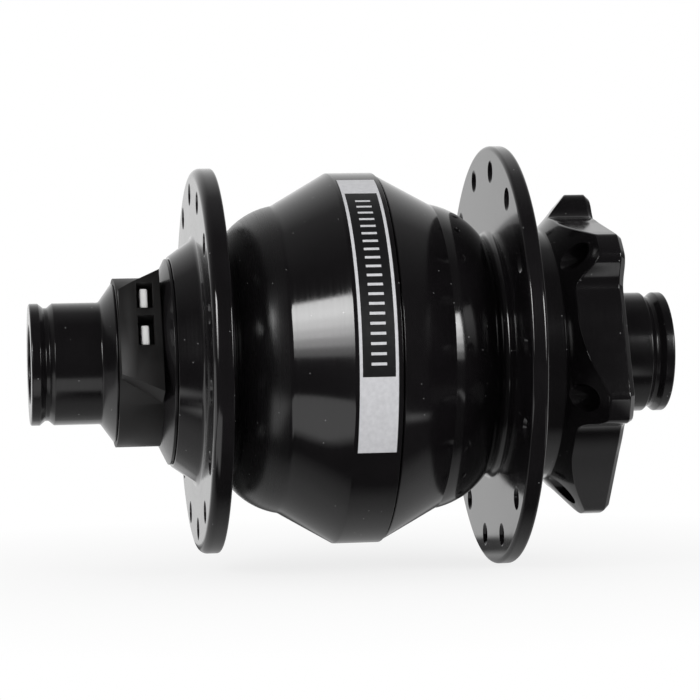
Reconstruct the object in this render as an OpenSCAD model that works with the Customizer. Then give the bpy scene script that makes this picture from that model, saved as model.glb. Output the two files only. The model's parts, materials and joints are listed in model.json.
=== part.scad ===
// Front hub dynamo for a bicycle wheel: 12 x 100 mm through axle, six-bolt disc brake, 28 spokes.
// The axle lies along Y, with the connector side at -Y and the disc side at +Y.
// The origin is on the axle line, midway between the fork faces.
// Profiles are drawn as [radius, place along the axle] and turned about the axle.

/* [Axle and end caps] */
// Width between the two fork faces
hub_w = 100; // [96:1:106]
// Bore for the through axle
axle_bore_d = 12.1; // [12.02:0.02:12.4]
// Axle tube outside diameter, where bearings and stator sit
axle_d = 17; // [16.6:0.1:17.6]
// Axle tube diameter inside the end caps
axle_end_d = 14.5; // [13.8:0.1:15.2]
// End cap outside diameter
cap_d = 18.8; // [18:0.1:20]
// End cap wall beyond the tip of the axle tube
cap_floor = 4; // [3:0.1:6]
// Lip outside the cap's groove
cap_lip_w = 1.4; // [1:0.1:2]
// Width of the groove round each cap
cap_groove_w = 2.2; // [1.6:0.1:3]
// Depth of the groove round each cap
cap_groove_d = 0.7; // [0.4:0.05:1]
// Length of the flare at the inner end of that cap
cap_flare_l = 2.3; // [1.5:0.1:3]
// Diameter of the flare where it meets the connector housing
cap_flare_d = 25.2; // [23:0.1:26]

/* [Connector] */
// Width of the connector housing along the axle
housing_w = 6.7; // [6:0.1:8]
// Diameter of the housing's ring
housing_d = 26.1; // [25:0.1:27]
// Direction that the socket faces, from +X towards +Z
socket_angle = 22; // [0:1:60]
// Height of the socket block's face above the axle line
block_h = 13.6; // [13.4:0.1:14.2]
// Half width of the block at its outboard edge
block_half_out = 6.8; // [6.4:0.1:8]
// Half width of the block at its hub side edge
block_half_in = 10; // [8.5:0.1:11]
// Length along the axle of the block's sloped outboard facet
block_slope_l = 2.3; // [1:0.1:2.6]
// Drop of that facet at the outboard edge
block_slope_h = 0.5; // [0.3:0.05:0.7]
// Step between each end of the block and the housing's face there
block_step = 0.2; // [0.1:0.05:0.4]
// Distance from the housing's outboard face to the terminal pockets
pocket_in = 2.9; // [2.7:0.1:3.2]
// Width of the terminal pockets along the axle
pocket_w = 2.5; // [2.2:0.1:2.8]
// Floor of the pockets above the axle line
pocket_floor = 10.1; // [9.9:0.1:10.5]
// Across the block, where the divider between the pockets is centred
divider_z = 3; // [2.6:0.1:3.4]
// Thickness of the divider
divider_t = 1.2; // [1:0.1:1.6]
// Length of the upper pocket across the block
pocket_up_l = 4.1; // [3.8:0.1:4.2]
// Length of the lower pocket across the block
pocket_down_l = 4.8; // [4.4:0.1:5.2]
// Terminal blade thickness
blade_t = 1.2; // [1:0.1:1.4]
// Terminal blade width
blade_w = 3.2; // [2.8:0.1:3.4]
// Terminal blade height above the pocket floor
blade_l = 2.8; // [2:0.1:3.1]

/* [Dust cover] */
// Width of the cone between the housing and the shell
cover_w = 1.7; // [1.3:0.1:2.2]
// Diameter of the cone's rim
cover_d = 31.9; // [31:0.1:32.3]
// Diameter of the cone next to the housing
cover_small_d = 26.2; // [25:0.1:27]
// Thickness of the cone's wall
cover_t = 0.8; // [0.6:0.1:1]
// Running gap between the cover's rim and the turning shell
cover_gap = 0.2; // [0.15:0.05:0.4]

/* [Bearings] */
// Bearing outside diameter
bearing_d = 30; // [29:0.1:30.6]
// Bearing width
bearing_w = 7; // [6.6:0.1:8]
// Ball diameter
ball_d = 3.97; // [3.7:0.01:4.1]
// Number of balls in a bearing
ball_n = 11; // [8:1:12]
// Radial clearance between ball and race groove
ball_gap = 0.04; // [0.02:0.01:0.08]
// Distance from the disc bearing's outer face back to the disc seat
disc_bearing_in = 3.3; // [2.9:0.1:4.5]

/* [Shell, connector side] */
// Place of this flange's middle, measured from the hub centre
flange_conn_y = 23.35; // [22.8:0.05:23.8]
// Diameter of this flange
flange_conn_d = 59.7; // [58:0.1:62]
// Distance from this flange's spoke circle to its edge
spoke_edge_conn = 3.85; // [3:0.05:4.5]
// Diameter of the shell's open end
neck_d = 32.6; // [32:0.1:33.4]
// Length of the neck from the flange to the open end
neck_l = 3.7; // [3.1:0.1:4.4]
// Diameter of the neck at the foot of the flange
neck_foot_d = 36.8; // [36:0.1:37.6]
// Fillet between the neck and the flange
neck_fillet = 0.8; // [0.5:0.1:1.2]
// Place of the crease between shoulder and cone, from the hub centre
crease_conn_y = 11.7; // [11:0.1:12.4]
// Diameter at that crease
crease_conn_d = 48.1; // [47:0.1:49]
// Place where the cone meets the drum, from the hub centre
drum_start_y = 3.3; // [2.6:0.1:4]
// Drum diameter
drum_d = 57.7; // [56.8:0.1:59]

/* [Shell, disc side] */
// Place of this flange's middle, measured from the hub centre
flange_disc_y = 23.1; // [22.6:0.05:23.6]
// Diameter of this flange
flange_disc_d = 65.7; // [63:0.1:68]
// Distance from this flange's spoke circle to its edge
spoke_edge_disc = 3.85; // [3:0.05:4.5]
// Place of the joint between the two shells, from the hub centre
joint_y = 4.1; // [3.6:0.1:4.6]
// Width of the parting groove at the joint
joint_groove_w = 0.4; // [0.3:0.05:0.6]
// Depth of the parting groove
joint_groove_d = 0.7; // [0.4:0.1:0.9]
// Diameter of the disc side shell beside the groove
cover_cone_d = 55.8; // [55:0.1:56.6]
// Place of the crease between cone and shoulder, from the hub centre
crease_disc_y = 12.85; // [12.2:0.05:13.4]
// Diameter at that crease
crease_disc_d = 47.5; // [46.6:0.1:48.4]

/* [Both flanges] */
// Flange thickness
flange_t = 2.7; // [2.4:0.1:3]
// Rounding of the flange edges
flange_edge = 0.6; // [0.3:0.05:0.9]
// Number of spoke holes in a flange
spoke_n = 14; // [10:1:18]
// Spoke hole diameter
spoke_d = 2.7; // [2.4:0.05:3]
// Depth of the countersink at each end of a spoke hole
spoke_sink = 0.45; // [0.2:0.05:0.6]
// Direction of the first spoke hole on the disc side
spoke_phase = 81; // [0:1:90]
// Fillet between each flange and the shell
root_fillet = 1.5; // [1:0.1:1.8]
// Radius of the rounded shoulders
shoulder_r = 11.7; // [10.5:0.1:11.8]
// Slope of each shoulder where it meets its cone, in degrees
shoulder_slope = 7; // [4:1:10]
// Wall of the hollow shells
shell_wall = 2.2; // [1.8:0.1:2.4]

/* [Disc carrier] */
// Distance from the fork face to the disc seat
rotor_offset = 10.5; // [10:0.1:11]
// Bolt circle of the disc
rotor_pcd = 44; // [43:0.5:45]
// Number of disc bolts
rotor_n = 6; // [5:1:6]
// Tapping hole for the disc bolts
rotor_hole_d = 4.2; // [4:0.05:4.4]
// Diameter over the lobe tips
lobe_d = 51; // [50.4:0.1:53]
// Diameter of the valleys between the lobes
valley_d = 42; // [41:0.1:43]
// Length of the lobe tips along the axle
lobe_tip_l = 3.9; // [3.5:0.1:4.5]
// Slope of the back of the lobes, in degrees from the axle
lobe_back = 48; // [42:1:52]
// Direction of the first lobe, from +X towards +Z
lobe_phase = 43; // [0:1:59]
// Chamfer at the outer edge of the disc seat
lobe_chamfer = 0.8; // [0.4:0.1:1]
// Half width of a lobe's tip on its steep side
lobe_steep = 3.9; // [3.4:0.1:4.2]
// Width of a lobe's tip on its sloping side
lobe_tip_w = 0.75; // [0.5:0.05:1.5]
// Diameter of the pilot that centres the disc
pilot_d = 34.95; // [34.6:0.05:35]
// Height of the pilot
pilot_h = 0.8; // [0.5:0.1:1.2]
// Neck diameter between flange and carrier
carrier_neck_d = 39; // [38:0.1:40]
// Fillet between the disc side flange and the neck
carrier_fillet = 2.5; // [2:0.1:2.8]

/* [Generator] */
// Length of the stator along the axle
stator_l = 15; // [14:0.1:15.6]
// Thickness of each claw plate
claw_plate_t = 2; // [1.6:0.1:2.3]
// Claw fingers on each plate
claw_n = 14; // [10:1:16]
// Diameter over the claw fingers
claw_d = 42.2; // [41.6:0.1:42.6]
// Thickness of a claw finger
claw_t = 1.6; // [1.3:0.1:1.8]
// Width of a finger at its root
claw_root_w = 3.7; // [3.2:0.1:3.8]
// Width of a finger at its tip
claw_tip_w = 2; // [1.5:0.1:2.2]
// Diameter of the plate between the fingers
claw_plate_d = 37.2; // [36:0.1:37.6]
// Distance from a finger's tip to the opposite plate
claw_tip_gap = 1.2; // [0.8:0.1:2]
// Diameter of the yoke between the plates
yoke_d = 23; // [22:0.1:24]
// Wall of the coil bobbin
bobbin_t = 1.1; // [0.9:0.1:1.4]
// Air gap between claws and magnets
air_gap = 0.45; // [0.35:0.05:0.7]
// Magnet thickness
magnet_t = 1.95; // [1.7:0.05:2.1]
// Gap between neighbouring magnets, in degrees
magnet_gap = 1.2; // [0.6:0.1:2]
// Thickness of the iron ring round the magnets
iron_t = 1.5; // [1.2:0.1:1.6]
// Thickness of the nuts that clamp the stator
nut_w = 3; // [2.4:0.1:4]
// Width across the flats of those nuts
nut_af = 22; // [20.6:0.1:24]
// Outside diameter of the spacer tubes
spacer_d = 20.6; // [19.6:0.1:21]
// Width of the square leads between coil and terminals
lead_w = 1; // [0.8:0.05:1.1]
// Direction of the lead groove in the axle
groove_angle = 36; // [30:1:42]

/* [Fits] */
// Gap between pieces that slide together and stay
slide_fit = 0.05; // [0.03:0.01:0.1]
// Gap between a lip seal and what it wipes
seal_gap = 0.15; // [0.1:0.05:0.3]

/* [Hidden] */
$fn = 96;
cut = 1;

// Places along the axle, from the connector side to the disc side
half_w = hub_w / 2;
neck_y = -flange_conn_y - flange_t / 2 - neck_l;
cover_rim_y = neck_y - cover_gap;
housing_y1 = cover_rim_y - cover_w;
cap_conn_in = housing_y1 - housing_w;
cap_neck_l = half_w + cap_conn_in - cap_flare_l;
cover_seat = 1.1;
conn_bearing_y = cover_rim_y + cover_seat;
disc_seat_y = half_w - rotor_offset;
disc_bearing_y = disc_seat_y - disc_bearing_in - bearing_w;
cap_disc_in = disc_bearing_y + bearing_w;
stator_end = stator_l / 2;
plate_in = stator_end - claw_plate_t;
nut_end = stator_end + nut_w;

// Spoke circles
pcd_conn = flange_conn_d - 2 * spoke_edge_conn;
pcd_disc = flange_disc_d - 2 * spoke_edge_disc;

// Radii
bore_r = axle_bore_d / 2;
axle_r = axle_d / 2;
axle_end_r = axle_end_d / 2;
cap_r = cap_d / 2;
seat_r = axle_r + slide_fit;
bearing_r = bearing_d / 2;
pitch_r = (axle_r + bearing_r) / 2;
ball_r = ball_d / 2;
race_land = (bearing_r - axle_r) * 0.32;
inner_land_r = axle_r + race_land;
outer_land_r = bearing_r - race_land;
stop_w = 1.5;
stop_r = bearing_r - race_land * 0.78;
claw_r = claw_d / 2;
magnet_r0 = claw_r + air_gap;
magnet_r1 = magnet_r0 + magnet_t;
iron_r0 = magnet_r1 + slide_fit;
iron_r1 = iron_r0 + iron_t;
iron_seat_r = iron_r1 + slide_fit;
iron_seat_y = stator_end + slide_fit;
bobbin_r0 = yoke_d / 2 + slide_fit;
bobbin_r1 = claw_r - claw_t - 4 * slide_fit;
bobbin_y = plate_in - slide_fit;
coil_r1 = bobbin_r1 - bobbin_t / 2;

// Shell outline
crease_conn_r = crease_conn_d / 2;
crease_disc_r = crease_disc_d / 2;
drum_r = drum_d / 2;
cover_cone_r = cover_cone_d / 2;
cone_start_y = joint_y + joint_groove_w;
conn_slope = (drum_r - crease_conn_r) / (crease_conn_y - drum_start_y);
disc_slope = (cover_cone_r - crease_disc_r) / (crease_disc_y - cone_start_y);
conn_face = -flange_conn_y + flange_t / 2;
disc_face = flange_disc_y - flange_t / 2;
conn_root_y = conn_face + root_fillet;
disc_root_y = disc_face - root_fillet;
conn_shoulder_l = -crease_conn_y - conn_root_y;
disc_shoulder_l = disc_root_y - crease_disc_y;

// Centre of a shoulder's arc from its crease, along the axle and inwards, and the arc's drop from there
arc_t = -shoulder_r * sin(shoulder_slope);
arc_in = shoulder_r * cos(shoulder_slope);
function shoulder_drop(t) = arc_in - sqrt(shoulder_r * shoulder_r - (t - arc_t) * (t - arc_t));
root_sink = 0.2;
conn_root_r = crease_conn_r - shoulder_drop(conn_shoulder_l) - root_sink;
disc_root_r = crease_disc_r - shoulder_drop(disc_shoulder_l) - root_sink;
wall_t = shoulder_r * 0.45;

// Joint between the shells
spigot_l = 4;
spigot_wall = 1.4;
spigot_r = iron_seat_r + spigot_wall;
drum_bore_r = spigot_r + slide_fit;
joint_seal_d = 0.7;
joint_seal_y = joint_y - spigot_l * 0.4;

// Disc carrier
lobe_r = lobe_d / 2;
valley_r = valley_d / 2;
carrier_neck_r = carrier_neck_d / 2;
lobe_tip_y = disc_seat_y - lobe_tip_l;
lobe_back_y = lobe_tip_y - (lobe_r - carrier_neck_r) / tan(lobe_back);
lobe_round = 3;
lobe_over = 0.3;
flat_sink = 0.1;
seal_w = 1.8;
circlip_w = 1.2;
circlip_groove_d = 0.8;

// Bearing details
cage_half_t = 0.55;
cage_gap = 0.12;
shield_in = 0.25;
shield_t = 0.5;
cage_in = shield_in + shield_t + seal_gap;

// Terminals, leads and their groove
pocket_y0 = cap_conn_in + pocket_in;
blade_y = pocket_y0 + pocket_w * 0.45;
upper_pocket_z = divider_z + divider_t / 2;
lower_pocket_z = divider_z - divider_t / 2 - pocket_down_l;
blade_foot = 0.25;
blade_up_z = upper_pocket_z + blade_foot + blade_w / 2;
blade_down_z = lower_pocket_z + blade_foot + blade_w / 2;
lead_room = 0.15;
lead_offset = lead_w * 0.6;
lead_groove_w = 2 * lead_offset + lead_w + 2 * lead_room;
lead_r = axle_r - lead_w * 0.75;
lead_groove_r = lead_r - lead_w / 2 - lead_room;
lead_bridge_r = axle_r + lead_w / 2 + lead_room;
lead_plate_y = -stator_end + lead_w / 2 + lead_room;
lead_coil_r = bobbin_r0 + bobbin_t + lead_w;
coil_y = bobbin_y - bobbin_t;
key_w = 3;
key_l = 8;
key_depth = 1.1;
key_angle = groove_angle + 180;

// Turns a drawn half section about the axle
module turned() {
    rotate([-90, 0, 0]) rotate_extrude() children();
}

module ring(r0, r1, y0, y1) {
    turned() translate([r0, y0]) square([r1 - r0, y1 - y0]);
}

// Turns what is drawn along +X to an angle about the axle, counted from +X towards +Z
module at_angle(a) {
    rotate([0, -a, 0]) children();
}

module around(n, phase) {
    for (i = [0 : n - 1]) at_angle(phase + i * 360 / n) children();
}

// A straight rod along the axle
module rod(d, y0, y1) {
    translate([0, y0, 0]) rotate([-90, 0, 0]) cylinder(d = d, h = y1 - y0, $fn = 32);
}

// A straight rod along a radius, in the frame of at_angle
module radial_rod(d, x0, x1) {
    translate([x0, 0, 0]) rotate([0, 90, 0]) cylinder(d = d, h = x1 - x0, $fn = 32);
}

// Half section of one end cap, drawn with its outer face at y = 0 and growing towards +y
module cap_section(length) {
    groove_mid = cap_lip_w + cap_groove_w / 2;
    groove_flat = cap_groove_w * 0.12;
    lip_break = 0.2;
    difference() {
        polygon([
            [bore_r, 0],
            [cap_r - lip_break, 0],
            [cap_r, lip_break],
            [cap_r, cap_lip_w],
            [cap_r - cap_groove_d, groove_mid - groove_flat],
            [cap_r - cap_groove_d, groove_mid + groove_flat],
            [cap_r, cap_lip_w + cap_groove_w],
            [cap_r, length],
            [bore_r, length]
        ]);
        translate([0, cap_floor]) square([axle_end_r + slide_fit, length]);
    }
}

module axle_tube() {
    color("silver") difference() {
        turned() polygon([
            [bore_r, -half_w + cap_floor],
            [axle_end_r, -half_w + cap_floor],
            [axle_end_r, cap_conn_in],
            [axle_r, cap_conn_in],
            [axle_r, cap_disc_in],
            [axle_end_r, cap_disc_in],
            [axle_end_r, half_w - cap_floor],
            [bore_r, half_w - cap_floor]
        ]);
        at_angle(groove_angle) lead_channel();
        at_angle(key_angle) key_slot();
    }
}

// Space for the two leads along the axle, in the frame of at_angle
module lead_channel() {
    y0 = blade_y - lead_w;
    translate([lead_groove_r, y0, -lead_groove_w / 2])
        cube([axle_r, lead_plate_y + lead_w - y0, lead_groove_w]);
}

// Space for the two leads across the connector side claw plate and the bobbin, in the frame of at_angle
module lead_crossing() {
    reach = lead_coil_r + lead_w / 2 + lead_room;
    depth = lead_w + 2 * lead_room;
    translate([0, -stator_end, -lead_groove_w / 2]) {
        translate([0, -cut, 0]) cube([reach, depth + cut, lead_groove_w]);
        translate([reach - depth, 0, 0]) cube([depth, stator_end - coil_y, lead_groove_w]);
    }
}

// Slot for the key that stops the stator from turning, half in the axle and half in the yoke
module key_slot() {
    translate([axle_r - key_depth, -key_l / 2, -key_w / 2]) cube([2 * key_depth, key_l, key_w]);
}

module connector_end_cap() {
    color("#18181a") translate([0, -half_w, 0]) {
        turned() cap_section(cap_neck_l);
        turned() polygon([
            [axle_end_r + slide_fit, cap_neck_l],
            [cap_r, cap_neck_l],
            [cap_flare_d / 2, cap_neck_l + cap_flare_l],
            [axle_end_r + slide_fit, cap_neck_l + cap_flare_l]
        ]);
    }
}

module disc_end_cap() {
    color("#18181a") translate([0, half_w, 0]) mirror([0, 1, 0]) turned() cap_section(half_w - cap_disc_in);
}

// Raised block that carries the socket: the shape common to two outlines, in the frame of at_angle
module socket_block() {
    intersection() {
        translate([0, 0, -block_half_in - cut]) linear_extrude(2 * (block_half_in + cut)) polygon([
            [0, cap_conn_in + block_step],
            [block_h - block_slope_h, cap_conn_in + block_step],
            [block_h, cap_conn_in + block_slope_l],
            [block_h, housing_y1 - block_step],
            [0, housing_y1 - block_step]
        ]);
        translate([-cut, 0, 0]) rotate([0, 90, 0]) linear_extrude(block_h + 2 * cut) polygon([
            [-block_half_out, cap_conn_in],
            [block_half_out, cap_conn_in],
            [block_half_in, housing_y1],
            [-block_half_in, housing_y1]
        ]);
    }
}

module terminal_pocket(z0, length) {
    translate([pocket_floor, pocket_y0, z0]) cube([block_h, pocket_w, length]);
}

// Room under the pockets where the leads rise to the terminals, in the frame of at_angle
module lead_room_under_pockets() {
    half = lead_w / 2 + lead_room;
    translate([0, blade_y - half, blade_down_z - half])
        cube([lead_bridge_r + half, 2 * half, blade_up_z - blade_down_z + 2 * half]);
    for (z = [blade_up_z, blade_down_z])
        translate([lead_bridge_r, blade_y - half, z - half]) cube([pocket_floor, 2 * half, 2 * half]);
}

module connector_housing() {
    color("#1d1d1f") difference() {
        union() {
            ring(0, housing_d / 2, cap_conn_in, housing_y1);
            at_angle(socket_angle) socket_block();
        }
        ring(0, seat_r, cap_conn_in - cut, housing_y1 + cut);
        at_angle(socket_angle) terminal_pocket(upper_pocket_z, pocket_up_l);
        at_angle(socket_angle) terminal_pocket(lower_pocket_z, pocket_down_l);
        at_angle(socket_angle) lead_room_under_pockets();
    }
}

module terminal_blade(z) {
    color("white") at_angle(socket_angle)
        translate([pocket_floor, blade_y - blade_t / 2, z - blade_w / 2]) cube([blade_l, blade_t, blade_w]);
}

module terminal_upper() {
    terminal_blade(blade_up_z);
}

module terminal_lower() {
    terminal_blade(blade_down_z);
}

// A point of a section across the axle: radius r along angle a, moved sideways by t
function polar(r, a, t) = [r * cos(a) - t * sin(a), r * sin(a) + t * cos(a)];

// One square lead: an outline along the axle from the coil to the housing, and a bent end up to its terminal
module lead_strip(side, blade_z) {
    t = side * lead_offset;
    half = lead_w / 2;
    end_half = half - slide_fit;
    bend = polar(lead_bridge_r, groove_angle - socket_angle, t);
    at_angle(groove_angle) translate([0, 0, t - half]) linear_extrude(lead_w) polygon([
        [lead_bridge_r + half, blade_y - half],
        [lead_bridge_r + half, blade_y + half],
        [lead_r + half, blade_y + half],
        [lead_r + half, lead_plate_y - half],
        [lead_coil_r + half, lead_plate_y - half],
        [lead_coil_r + half, -coil_y],
        [lead_coil_r - half, -coil_y],
        [lead_coil_r - half, lead_plate_y + half],
        [lead_r - half, lead_plate_y + half],
        [lead_r - half, blade_y - half]
    ]);
    at_angle(socket_angle) translate([0, blade_y + end_half, 0]) rotate([90, 0, 0])
        linear_extrude(2 * end_half) polygon([
            [bend[0] - end_half, bend[1]],
            [lead_bridge_r - end_half, blade_z + side * end_half],
            [pocket_floor, blade_z + side * end_half],
            [pocket_floor, blade_z - side * end_half],
            [lead_bridge_r + end_half, blade_z - side * end_half],
            [bend[0] + end_half, bend[1]]
        ]);
}

module lead_strip_upper() {
    color("firebrick") lead_strip(1, blade_up_z);
}

module lead_strip_lower() {
    color("black") lead_strip(-1, blade_down_z);
}

// Cone that shields the connector side bearing, with a hub that presses on the inner race
module dust_cover() {
    rim = 0.3;
    color("#232325") turned() polygon([
        [seat_r, housing_y1],
        [cover_small_d / 2, housing_y1],
        [cover_d / 2, cover_rim_y - rim],
        [cover_d / 2, cover_rim_y],
        [cover_d / 2 - cover_t, cover_rim_y],
        [cover_small_d / 2 - cover_t, housing_y1 + cover_t],
        [spacer_d / 2, housing_y1 + cover_t],
        [spacer_d / 2, conn_bearing_y],
        [seat_r, conn_bearing_y]
    ]);
}

module connector_spacer() {
    color("silver") ring(seat_r, spacer_d / 2, conn_bearing_y + bearing_w, -nut_end);
}

module disc_spacer() {
    color("silver") ring(seat_r, spacer_d / 2, nut_end, disc_bearing_y);
}

// Six-sided nut on the axle
module stator_nut(y0) {
    color("goldenrod") translate([0, y0, 0]) rotate([-90, 0, 0]) difference() {
        cylinder(d = nut_af / cos(30), h = nut_w, $fn = 6);
        translate([0, 0, -cut]) cylinder(r = seat_r, h = nut_w + 2 * cut);
    }
}

module stator_nut_connector() {
    stator_nut(-nut_end);
}

module stator_nut_disc() {
    stator_nut(stator_end);
}

// Claw plate at the -Y end of the stator: a disc whose fingers are bent over to reach along +Y
module claw_pole(phase) {
    finger_end = plate_in - claw_tip_gap;
    intersection() {
        turned() polygon([
            [seat_r, -stator_end],
            [claw_r, -stator_end],
            [claw_r, finger_end],
            [claw_r - claw_t, finger_end],
            [claw_r - claw_t, -plate_in],
            [seat_r, -plate_in]
        ]);
        union() {
            ring(0, claw_plate_d / 2, -stator_end - cut, -plate_in + cut);
            around(claw_n, phase) translate([claw_plate_d / 2 - cut, 0, 0]) rotate([90, 0, 90])
                linear_extrude(claw_r - claw_plate_d / 2 + 2 * cut) polygon([
                    [-stator_end - cut, -claw_root_w / 2],
                    [-plate_in, -claw_root_w / 2],
                    [finger_end, -claw_tip_w / 2],
                    [finger_end + cut, -claw_tip_w / 2],
                    [finger_end + cut, claw_tip_w / 2],
                    [finger_end, claw_tip_w / 2],
                    [-plate_in, claw_root_w / 2],
                    [-stator_end - cut, claw_root_w / 2]
                ]);
        }
    }
}

module claw_pole_connector() {
    color("dimgray") difference() {
        claw_pole(groove_angle);
        at_angle(groove_angle) lead_crossing();
    }
}

module claw_pole_disc() {
    color("dimgray") mirror([0, 1, 0]) claw_pole(groove_angle + 180 / claw_n);
}

module stator_yoke() {
    color("gray") difference() {
        ring(seat_r, yoke_d / 2, -plate_in, plate_in);
        at_angle(key_angle) key_slot();
    }
}

module stator_key() {
    length = key_l - 2 * slide_fit;
    width = key_w - 2 * slide_fit;
    color("silver") at_angle(key_angle) translate([axle_r - key_depth, -length / 2, -width / 2])
        cube([2 * key_depth - slide_fit, length, width]);
}

module coil_bobbin() {
    color("ivory") difference() {
        turned() polygon([
            [bobbin_r0, -bobbin_y],
            [bobbin_r1, -bobbin_y],
            [bobbin_r1, -coil_y],
            [bobbin_r0 + bobbin_t, -coil_y],
            [bobbin_r0 + bobbin_t, coil_y],
            [bobbin_r1, coil_y],
            [bobbin_r1, bobbin_y],
            [bobbin_r0, bobbin_y]
        ]);
        at_angle(groove_angle) lead_crossing();
    }
}

module coil_winding() {
    color("peru") ring(bobbin_r0 + bobbin_t + slide_fit, coil_r1, -coil_y, coil_y);
}

// Bearing pieces, each drawn for a bearing whose -Y face is at y0
module race_groove(y0) {
    turned() translate([pitch_r, y0 + bearing_w / 2]) circle(r = ball_r + ball_gap);
}

module inner_race(y0) {
    color("lightsteelblue") difference() {
        ring(seat_r, inner_land_r, y0, y0 + bearing_w);
        race_groove(y0);
    }
}

module outer_race(y0) {
    color("lightsteelblue") difference() {
        ring(outer_land_r, bearing_r, y0, y0 + bearing_w);
        race_groove(y0);
    }
}

module balls(y0) {
    color("white") around(ball_n, 90)
        translate([pitch_r, y0 + bearing_w / 2, 0]) sphere(r = ball_r, $fn = 32);
}

module cage(y0) {
    color("darkkhaki") difference() {
        ring(pitch_r - cage_half_t, pitch_r + cage_half_t, y0 + cage_in, y0 + bearing_w - cage_in);
        around(ball_n, 90) translate([0, y0 + bearing_w / 2, 0])
            radial_rod(ball_d + 2 * cage_gap, inner_land_r, outer_land_r);
    }
}

// One of the two seals of a bearing, with its -Y face at y0
module bearing_seal(y0) {
    color("saddlebrown") ring(inner_land_r + seal_gap, outer_land_r - slide_fit, y0, y0 + shield_t);
}

module connector_inner_race() {
    inner_race(conn_bearing_y);
}

module disc_inner_race() {
    inner_race(disc_bearing_y);
}

module connector_outer_race() {
    outer_race(conn_bearing_y);
}

module disc_outer_race() {
    outer_race(disc_bearing_y);
}

module connector_seal_outer() {
    bearing_seal(conn_bearing_y + shield_in);
}

module connector_seal_inner() {
    bearing_seal(conn_bearing_y + bearing_w - shield_in - shield_t);
}

module disc_seal_inner() {
    bearing_seal(disc_bearing_y + shield_in);
}

module disc_seal_outer() {
    bearing_seal(disc_bearing_y + bearing_w - shield_in - shield_t);
}

module connector_cage() {
    cage(conn_bearing_y);
}

module disc_cage() {
    cage(disc_bearing_y);
}

module connector_balls() {
    balls(conn_bearing_y);
}

module disc_balls() {
    balls(disc_bearing_y);
}

// Half section of a flange with rounded edges, centred on y
module flange_section(d, y) {
    r = d / 2;
    translate([0, y - flange_t / 2]) {
        square([r - flange_edge, flange_t]);
        translate([0, flange_edge]) square([r, flange_t - 2 * flange_edge]);
    }
    for (side = [-1, 1])
        translate([r - flange_edge, y + side * (flange_t / 2 - flange_edge)]) circle(r = flange_edge);
}

// Half section of a concave fillet between a wall at radius r and a flange face at y, on the side given
module fillet_section(r, y, fillet, side) {
    difference() {
        translate([0, side > 0 ? y : y - fillet]) square([r + fillet, fillet]);
        translate([r + fillet, y + side * fillet]) circle(r = fillet);
    }
}

// Half section of a rounded shoulder with its crease at y = 0, reaching into its neighbours at both ends
module shoulder_section(crease_r, length) {
    intersection() {
        translate([crease_r - arc_in, arc_t]) circle(r = shoulder_r);
        translate([0, -cut]) square([drum_r, length + 2 * cut]);
    }
}

// Holes for the spokes through a flange centred on y
module spoke_holes(pcd, y, phase) {
    over = 0.2;
    sink = spoke_sink + over;
    around(spoke_n, phase) translate([pcd / 2, y, 0]) {
        rod(spoke_d, -flange_t, flange_t);
        translate([0, -flange_t / 2 - over, 0]) rotate([-90, 0, 0])
            cylinder(d1 = spoke_d + 2 * sink, d2 = spoke_d, h = sink, $fn = 32);
        translate([0, flange_t / 2 + over, 0]) rotate([90, 0, 0])
            cylinder(d1 = spoke_d + 2 * sink, d2 = spoke_d, h = sink, $fn = 32);
    }
}

module hub_shell() {
    outer_face = -flange_conn_y - flange_t / 2;
    neck_r = neck_foot_d / 2;
    stop_y = conn_bearing_y + bearing_w;
    seat_wall_r = crease_conn_r + (crease_conn_y - iron_seat_y) * conn_slope - shell_wall;
    color("#101012") difference() {
        turned() difference() {
            union() {
                polygon([
                    [0, neck_y],
                    [neck_d / 2, neck_y],
                    [neck_r, outer_face - neck_fillet],
                    [neck_r, outer_face],
                    [0, outer_face]
                ]);
                fillet_section(neck_r, outer_face, neck_fillet, -1);
                flange_section(flange_conn_d, -flange_conn_y);
                fillet_section(conn_root_r, conn_face, root_fillet, 1);
                translate([0, -crease_conn_y]) mirror([0, 1])
                    shoulder_section(crease_conn_r, conn_shoulder_l);
                polygon([
                    [0, -crease_conn_y - cut],
                    [crease_conn_r - conn_slope * cut, -crease_conn_y - cut],
                    [drum_r, -drum_start_y],
                    [drum_r, joint_y],
                    [0, joint_y]
                ]);
            }
            polygon([
                [0, neck_y - cut],
                [bearing_r + slide_fit, neck_y - cut],
                [bearing_r + slide_fit, stop_y],
                [stop_r, stop_y],
                [stop_r, stop_y + stop_w],
                [crease_conn_r - shoulder_drop(wall_t) - shell_wall, -crease_conn_y - wall_t],
                [crease_conn_r - shell_wall, -crease_conn_y],
                [seat_wall_r, -iron_seat_y],
                [iron_seat_r, -iron_seat_y],
                [iron_seat_r, joint_y - spigot_l - slide_fit],
                [drum_bore_r, joint_y - spigot_l - slide_fit],
                [drum_bore_r, joint_y + cut],
                [0, joint_y + cut]
            ]);
        }
        spoke_holes(pcd_conn, -flange_conn_y, spoke_phase + 180 / spoke_n);
    }
}

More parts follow.
